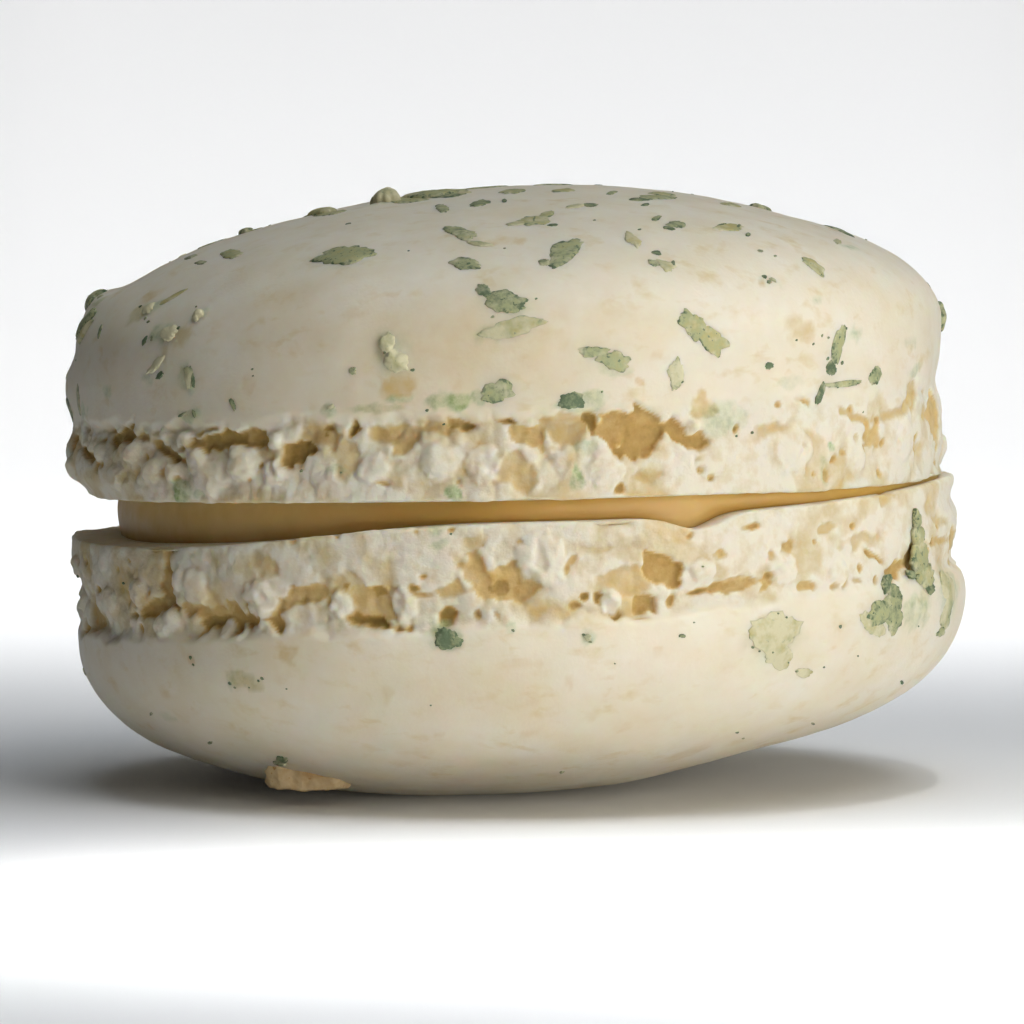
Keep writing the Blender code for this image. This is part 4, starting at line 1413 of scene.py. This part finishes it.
def build_filling(settings, material):
    """The cream layer: a disc whose faces follow the two rims and whose edge swells by smooth bulges,
    being its radius plus the bulges, a slow wave and a half sine up its wall."""
    low, high = node_box("filling")
    middle = (low + high) / 2
    columns, rings = 900, 13
    bearing = np.radians(np.arange(columns) * 360 / columns - 180)[:, None]
    share = np.linspace(0, 1, rings)[None, :]
    ring = np.stack([np.cos(bearing) * 17, np.sin(bearing) * 17, 0 * bearing], -1)
    wave = 0.12 * noise(ring, 6.0, 61) + 0.05 * noise(ring + (0, 0, 1) * share[..., None] * 2, 1.5, 62)
    radius = settings.radius / MM + bumps(bearing, FILLING_BULGES) + wave
    radius = radius + 0.18 * np.sin(math.pi * share) - 0.05
    x, y = middle[0] + radius * np.cos(bearing), middle[1] + radius * np.sin(bearing)
    bottom = rim_height(bottom_shell(), x, y) - 0.25
    top = rim_height(top_shell(), x, y) + 0.25
    grid = np.stack([x, y, bottom + (top - bottom) * share], -1)
    ends = np.array([[middle[0], middle[1], middle[2] - 0.6], [middle[0], middle[1], middle[2] + 0.6]])
    vertices = np.concatenate([grid.reshape(-1, 3), ends])
    i = np.arange(columns)
    nxt = (i + 1) % columns
    down = np.stack([nxt * rings, i * rings, np.full(columns, columns * rings)], -1)
    up = np.stack([i * rings + rings - 1, nxt * rings + rings - 1, np.full(columns, columns * rings + 1)], -1)
    faces = [grid_faces(columns, rings), np.concatenate([down, up])]
    # painted shade: the cream is darkened where the two rims come close together
    gap_shade = smooth(-(top - bottom), -2.6, -1.0) * np.ones((1, rings))
    gap_shade = np.concatenate([gap_shade.ravel(), [0, 0]])
    piece = add_piece("cream_filling", vertices, faces, material, (("gap_shade", gap_shade),))
    return piece


def rim_height(shell, x, y):
    """Height in the biscuit's frame of a shell's rim plane at these places."""
    lean = math.radians(shell.lean)
    slope = -math.tan(lean) - shell.up * shell.rake
    bearing = np.arctan2(y, x - shell.centre[0])
    return shell.centre[2] + slope * (x - shell.centre[0]) - shell.up * bumps(bearing, shell.swells)


FLAKE_RINGS = (
    (0.28, 1.0),
    (0.5, 0.95),
    (0.7, 0.85),
    (0.86, 0.65),
    (0.95, 0.4),
    (1.0, 0.1),
    (0.97, -1.0),
    (0.6, -1.6),
)


def flake_surfaces(shell, flecks, angles):
    """Thin closed flakes, (flake, ring, angle) points and their middles.

    Each outline is a polygon, the least of d / cos(angle - side) over seven random sides, roughened by
    noise and stretched to the flake's half lengths. Rings of shares of it are laid on the skin, lifted
    by the flake's lift on top and sunk by as much and more below, with fine wrinkles."""
    draw = np.random.default_rng(shell.seed + 5)
    count = len(flecks)
    values = {k: np.array([getattr(f, k) for f in flecks])[:, None] for k in Fleck.__dataclass_fields__}
    theta = np.arange(angles) * 2 * math.pi / angles + 0 * values["wide"]
    sides = np.sort(draw.uniform(0, 2 * math.pi, (count, 1, 7)), axis=-1)
    far = draw.uniform(0.72, 1.08, (count, 1, 7))
    facing = np.cos(theta[..., None] - sides)
    outline = np.where(facing > 0.15, far / np.maximum(facing, 0.15), 9).min(-1)
    outline = np.minimum(outline, 1.2)
    outline = 0.35 + 0.65 * outline / outline.mean(1, keepdims=True)
    circle = np.stack([np.cos(theta), np.sin(theta), np.arange(count)[:, None] * 3.7 + 0 * theta], -1)
    outline = outline * (1 + 0.20 * noise(circle, 0.7, 71) + 0.26 * noise(circle, 0.28, 72))
    turn = np.radians(values["turn"])
    across = outline * np.cos(theta) * values["wide"]
    along = outline * np.sin(theta) * values["tall"]
    u = across * np.cos(turn) - along * np.sin(turn)
    v = across * np.sin(turn) + along * np.cos(turn)
    table = skin_table(shell)
    bearing = np.radians(values["bearing"][:, 0])
    r, h, nr, nh = (np.interp(values["way"][:, 0], table[:, 1], table[:, c]) for c in (2, 3, 4, 5))
    centre = np.stack([r * np.cos(bearing), r * np.sin(bearing), h], -1)
    side = np.stack([-np.sin(bearing), np.cos(bearing), 0 * bearing], -1)
    uphill = np.stack([-nh * np.cos(bearing), -nh * np.sin(bearing), nr], -1)
    flat = u[..., None] * side[:, None] + v[..., None] * uphill[:, None]
    share = np.array([ring[0] for ring in FLAKE_RINGS])[None, :, None]
    rise = np.array([ring[1] for ring in FLAKE_RINGS])[None, :, None]
    points = centre[:, None, None] + flat[:, None] * share[..., None]
    wrinkle = 0.25 * noise(points, 0.45, 73) * (share < 0.98)
    lift = values["lift"][:, :, None] * (rise + wrinkle)
    middles = np.stack([centre, centre], 1)
    middle_lift = values["lift"] * np.array([1.0, -1.6])
    return on_skin(shell, points, lift), on_skin(shell, middles, middle_lift)


def build_flakes(shell, flecks, name, angles, material):
    """Every flake of one shell in one mesh, with each one's tone and veil and how near its rim it is."""
    grid, middles = flake_surfaces(shell, flecks, angles)
    count, rings = grid.shape[:2]
    body = rings * angles
    vertices = np.concatenate([grid.reshape(count, -1, 3), middles], 1)
    k = np.arange(angles)
    after = (k + 1) % angles
    quads = [
        np.stack([j * angles + k, j * angles + angles + k, j * angles + angles + after, j * angles + after], -1)
        for j in range(rings - 1)
    ]
    quads = np.concatenate(quads)
    top = np.stack([k, after, np.full(angles, body)], -1)
    last = (rings - 1) * angles
    base = np.stack([last + after, last + k, np.full(angles, body + 1)], -1)
    triangles = np.concatenate([top, base])
    step = (np.arange(count) * (body + 2))[:, None, None]
    quads = (quads[None] + step).reshape(-1, 4)[:, ::-1]
    triangles = (triangles[None] + step).reshape(-1, 3)
    faces = [quads, triangles]
    if shell.up > 0:
        faces = [quads[:, ::-1], triangles]
    else:
        faces = [quads, triangles[:, ::-1]]
    world = place(shell, vertices.reshape(-1, 3))
    world[:, 2] = np.maximum(world[:, 2], 0.01)
    near_rim = np.array([share for share, _ in FLAKE_RINGS]) ** 4
    near_rim = np.concatenate([np.repeat(near_rim, angles), [0, 0]])
    attributes = (
        ("tone", np.repeat([f.tone for f in flecks], body + 2)),
        ("veil", np.repeat([f.veil for f in flecks], body + 2)),
        ("edge", np.tile(near_rim, count)),
    )
    piece = add_piece(name, world, faces, material, attributes)
    return piece


def herb_material(settings):
    """Dried leaf: dark and pale green mixed by noise and the tone, darker at its rim, under a film."""
    material = bpy.data.materials.new("dried_herb")
    material.use_nodes = True
    tree = material.node_tree
    shader = tree.nodes["Principled BSDF"]
    tone = attribute(tree, "tone")
    mottle = remap(tree, texture_noise(tree, 0.5, 4.0, 0.7), 0.3, 0.7, -0.32, 0.32)
    mixed = calculate(tree, "ADD", tone, mottle)
    dotted = remap(tree, texture_noise(tree, 0.22, 2.0), 0.50, 0.60, 0.0, 0.75)
    mixed = calculate(tree, "SUBTRACT", mixed, calculate(tree, "MULTIPLY", attribute(tree, "edge"), dotted))
    dots = remap(tree, texture_noise(tree, 0.18, 2.0), 0.65, 0.70, 0.0, 0.8)
    mixed = calculate(tree, "SUBTRACT", mixed, dots)
    ramp = new_node(tree, "ShaderNodeValToRGB", {"Fac": mixed})
    stops = (
        (0.0, settings.dark_colour),
        (0.45, settings.leaf_colour),
        (1.0, settings.olive_colour),
    )
    ramp.color_ramp.elements.new(0.5)
    for element, (position, colour) in zip(ramp.color_ramp.elements, stops):
        element.position = position
        element.color = (*colour, 1)
    patchy = remap(tree, texture_noise(tree, 0.8, 3.0, 0.6), 0.25, 0.75, -0.55, 0.55)
    veil = calculate(tree, "ADD", attribute(tree, "veil"), patchy)
    fading = remap(tree, texture_noise(tree, 0.6, 2.0), 0.45, 0.65, 0.0, 0.5)
    veil = calculate(tree, "ADD", veil, calculate(tree, "MULTIPLY", attribute(tree, "edge"), fading))
    veil = remap(tree, veil, 0.15, 0.75, 0.0, 0.9)
    colour = mix_colour(tree, veil, ramp.outputs["Color"], (*settings.film_colour, 1))
    tree.links.new(colour, shader.inputs["Base Color"])
    height = texture_noise(tree, 0.12, 3.0)
    bump = new_node(tree, "ShaderNodeBump", {"Height": height, "Strength": 1.0, "Distance": 0.02 * MM})
    tree.links.new(bump.outputs["Normal"], shader.inputs["Normal"])
    tree.links.new(remap(tree, mottle, -0.3, 0.3, 0.5, 0.7), shader.inputs["Roughness"])
    shader.inputs["Specular IOR Level"].default_value = 0.3
    return material


def toasted_material(settings):
    """A toasted crumb of batter: tan with browned rims and dark spots."""
    material = bpy.data.materials.new("toasted_batter")
    material.use_nodes = True
    tree = material.node_tree
    shader = tree.nodes["Principled BSDF"]
    spots = remap(tree, texture_noise(tree, 0.4, 4.0, 0.65), 0.45, 0.75, 0.0, 0.5)
    dots = remap(tree, texture_noise(tree, 0.22, 2.0), 0.66, 0.70, 0.0, 0.9)
    patchy = remap(tree, texture_noise(tree, 0.5, 3.0), 0.3, 0.7, 0.5, 1.3)
    rim = calculate(tree, "MULTIPLY", attribute(tree, "edge"), patchy)
    share = calculate(tree, "MAXIMUM", calculate(tree, "MAXIMUM", spots, dots), rim)
    colour = mix_colour(tree, share, (*settings.toast_colour, 1), (*settings.toast_dark_colour, 1))
    tree.links.new(colour, shader.inputs["Base Color"])
    height = texture_noise(tree, 0.15, 3.0)
    bump = new_node(tree, "ShaderNodeBump", {"Height": height, "Strength": 1.0, "Distance": 0.03 * MM})
    tree.links.new(bump.outputs["Normal"], shader.inputs["Normal"])
    tree.links.new(remap(tree, spots, 0, 1, 0.5, 0.7), shader.inputs["Roughness"])
    return material


def build_toasted(shell, material):
    """A rough block of batter under the lower shell. Along each direction of a ball its radius is
    (|x/a|^7 + |y/b|^7 + |z/c|^7)^(-1/7), with a, b and c its half lengths, times 1 plus two noises; then it
    is turned and set half into the skin, with nothing below the floor."""
    columns, rings = 96, 40
    round_by, down = np.meshgrid(np.arange(columns) * 2 * math.pi / columns, np.linspace(0, math.pi, rings)[1:-1])
    ways = np.stack([np.sin(down) * np.cos(round_by), np.sin(down) * np.sin(round_by), np.cos(down)], -1)
    ways = np.concatenate([ways.reshape(-1, 3), [(0, 0, 1), (0, 0, -1)]])
    radius = (np.abs(ways / (1.66, 0.90, 0.60)) ** 7).sum(-1) ** (-1 / 7)
    points = ways * radius[:, None]
    swell = 1 + 0.22 * noise(points, 1.0, 81) + 0.10 * noise(points, 0.4, 82) + 0.05 * noise(points, 0.17, 83)
    points = points * swell[:, None]
    points[:, 2] += 0.03 * points[:, 0]
    table = skin_table(shell)
    out, high = (np.interp(13.3, table[:, 1], table[:, c]) for c in (2, 3))
    bearing = math.radians(-133.6)
    spot = np.array([[out * math.cos(bearing), out * math.sin(bearing), high]])
    centre = place(shell, on_skin(shell, spot, np.array([0.15])))[0]
    browned = smooth(points[:, 0], -0.8, 0.5) * smooth(points[:, 2], -0.25, 0.20)
    lean = math.radians(-8)
    turned_x = points[:, 0] * math.cos(lean) - points[:, 1] * math.sin(lean)
    turned_y = points[:, 0] * math.sin(lean) + points[:, 1] * math.cos(lean)
    world = np.stack([turned_x + centre[0], turned_y + centre[1], points[:, 2] + centre[2] + 0.25], -1)
    world[:, 2] = np.maximum(world[:, 2], 0.01)
    k = np.arange(columns)
    after = (k + 1) % columns
    rows = rings - 2
    quads = [
        np.stack([j * columns + k, j * columns + columns + k, j * columns + columns + after, j * columns + after], -1)
        for j in range(rows - 1)
    ]
    last = (rows - 1) * columns
    top = np.stack([k, after, np.full(columns, rows * columns)], -1)
    base = np.stack([last + after, last + k, np.full(columns, rows * columns + 1)], -1)
    faces = [np.concatenate(quads), np.concatenate([top, base])]
    piece = add_piece("toasted_crumb", world, faces, material, (("edge", browned),))
    return piece


# Operators --------------------------------------------------------------------------------------


class MACARON_OT_shells(Operator):
    """Build both shells: a crumbed foot band and a smooth skin each"""

    bl_idname = "macaron.shells"
    bl_label = "Shells"

    def execute(self, context):
        settings = context.scene.macaron_shells
        skin = skin_group(settings)
        material = meringue_material("meringue", settings, skin)
        for shell in (top_shell(), bottom_shell()):
            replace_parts(build_shell(shell, settings, material), shell.node)
        return {"FINISHED"}


class MACARON_OT_filling(Operator):
    """Build the cream layer between the shells"""

    bl_idname = "macaron.filling"
    bl_label = "Filling"

    def execute(self, context):
        settings = context.scene.macaron_filling
        piece = build_filling(settings, filling_material(settings))
        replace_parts(piece, "filling")
        return {"FINISHED"}


class MACARON_OT_flakes(Operator):
    """Build the herb flakes and specks on both shells, and the toasted crumb under the lower one"""

    bl_idname = "macaron.flakes"
    bl_label = "Flakes"

    def execute(self, context):
        settings = context.scene.macaron_herbs
        herb = herb_material(settings)
        for shell, flecks, specks in (
            (top_shell(), TOP_FLECKS, TOP_SPECKS),
            (bottom_shell(), BOTTOM_FLECKS, BOTTOM_SPECKS),
        ):
            number = settings.scattered if shell.up > 0 else settings.scattered // 2
            chosen = [*flecks, *scattered_flecks(shell, number)]
            build_flakes(shell, chosen, shell.node + "_flakes", 44, herb)
            dots = [
                Fleck(bearing, way, radius * 0.95, radius * 0.7, 20, 0.1, 0, 0.04)
                for bearing, way, radius in (*specks, *scattered_specks(shell, 70))
            ]
            build_flakes(shell, dots, shell.node + "_specks", 10, herb)
        build_toasted(bottom_shell(), toasted_material(settings))
        return {"FINISHED"}


def area_light(name, place_mm, target_mm, size_mm, power, colour=(1, 1, 1)):
    data = bpy.data.lights.new(name, "AREA")
    data.shape = "RECTANGLE"
    data.size, data.size_y = size_mm[0] * MM, size_mm[1] * MM
    data.energy = power
    data.color = colour
    lamp = bpy.data.objects.new(name, data)
    lamp.location = Vector(place_mm) * MM
    way = Vector(target_mm) - Vector(place_mm)
    lamp.rotation_euler = way.to_track_quat("-Z", "Y").to_euler()
    bpy.context.scene.collection.objects.link(lamp)
    return lamp


class MACARON_OT_stage(Operator):
    """Set the seamless floor, the lights and the camera"""

    bl_idname = "macaron.stage"
    bl_label = "Stage"

    def execute(self, context):
        scene = context.scene
        settings = scene.macaron_stage
        scene.view_settings.view_transform = "Standard"
        build_floor(settings)
        world = bpy.data.worlds.new("studio")
        world.use_nodes = True
        world.node_tree.nodes["Background"].inputs["Color"].default_value = (1.0, 0.86, 0.82, 1)
        world.node_tree.nodes["Background"].inputs["Strength"].default_value = 0.01
        scene.world = world
        area_light("key", (325, -292, 100), (0, 0, 12), (400, 180), settings.key_power)
        area_light("high_key", (160, -200, 400), (0, 0, 12), (200, 200), settings.key_power * 0.62)
        area_light("overhead", (40, 20, 420), (0, 0, 0), (300, 300), 0.54, (0.84, 0.92, 1.0))
        front = area_light("floor_front", (28, -200, 300), (28, -44, 0), (100, 20), 0.018)
        front.data.spread = math.radians(8)
        pool = area_light("floor_pool", (110, -170, 600), (90, -85, 0), (60, 60), 0.10)
        pool.data.spread = math.radians(20)
        low = area_light("low_front", (90, -150, 3), (8, -8, 4), (120, 6), 0.055)
        low.visible_camera = False
        back = area_light("backdrop_light", (0, 380, 700), (0, 380, 0), (260, 640), 0.50)
        back.data.spread = math.radians(12)
        data = bpy.data.cameras.new("camera")
        data.sensor_width = 36
        data.lens = 174.4
        data.clip_start = 0.01
        camera = bpy.data.objects.new("camera", data)
        camera.location = Vector((-0.215, -220, 22.73)) * MM
        camera.rotation_euler = (math.radians(90 - 2.81), 0, 0)
        scene.collection.objects.link(camera)
        scene.camera = camera
        return {"FINISHED"}


def build_floor(settings):
    """A seamless sheet: flat floor, then a quarter round of this radius up into a wall, carried
    sideways."""
    material = bpy.data.materials.new("studio_paper")
    material.use_nodes = True
    tree = material.node_tree
    shader = tree.nodes["Principled BSDF"]
    share = remap(tree, texture_noise(tree, 40.0), 0.3, 0.7, 0.0, 0.04)
    colour = mix_colour(tree, share, (*settings.floor_colour, 1), (0.8, 0.8, 0.8, 1))
    tree.links.new(colour, shader.inputs["Base Color"])
    shader.inputs["Roughness"].default_value = 0.9
    shader.inputs["Specular IOR Level"].default_value = 0.1
    turn = np.linspace(-math.pi / 2, 0, 25)
    bend = np.stack([400 + 400 * np.cos(turn), 400 + 400 * np.sin(turn)], -1)
    path = np.concatenate([[(-1200, 0)], bend, [(800, 1600)]])
    across = np.array([-1500.0, 1500.0])
    grid = np.stack([across[:, None] + 0 * path[None, :, 0], path[None, :, 0] + 0 * across[:, None],
                     path[None, :, 1] + 0 * across[:, None]], -1)
    rings = len(path)
    j = np.arange(rings - 1)
    faces = np.stack([j, rings + j, rings + j + 1, j + 1], -1)
    mesh = bpy.data.meshes.new("floor")
    mesh.from_pydata((grid.reshape(-1, 3) * MM).tolist(), [], faces.tolist())
    mesh.shade_smooth()
    mesh.materials.append(material)
    floor = bpy.data.objects.new("floor", mesh)
    bpy.context.scene.collection.objects.link(floor)


class MACARON_PT_sidebar(Panel):
    """Lists the pieces of the macaron"""

    bl_idname = "MACARON_PT_sidebar"
    bl_label = "Macaron"
    bl_space_type = "VIEW_3D"
    bl_region_type = "UI"
    bl_category = "Macaron"

    def draw(self, context):
        for operator in OPERATORS:
            self.layout.operator(operator.bl_idname)


OPERATORS = (MACARON_OT_shells, MACARON_OT_filling, MACARON_OT_flakes, MACARON_OT_stage)
SETTINGS = {
    "macaron_shells": MacaronShellSettings,
    "macaron_filling": MacaronFillingSettings,
    "macaron_herbs": MacaronHerbSettings,
    "macaron_stage": MacaronStageSettings,
}


def register():
    for cls in (*SETTINGS.values(), *OPERATORS, MACARON_PT_sidebar):
        bpy.utils.register_class(cls)
    for name, cls in SETTINGS.items():
        setattr(bpy.types.Scene, name, PointerProperty(type=cls))


def unregister():
    for name in SETTINGS:
        delattr(bpy.types.Scene, name)
    for cls in reversed((*SETTINGS.values(), *OPERATORS, MACARON_PT_sidebar)):
        bpy.utils.unregister_class(cls)


def main():
    register()
    bpy.ops.macaron.shells()
    bpy.ops.macaron.filling()
    bpy.ops.macaron.flakes()
    bpy.ops.macaron.stage()


if __name__ == "__main__":
    main()
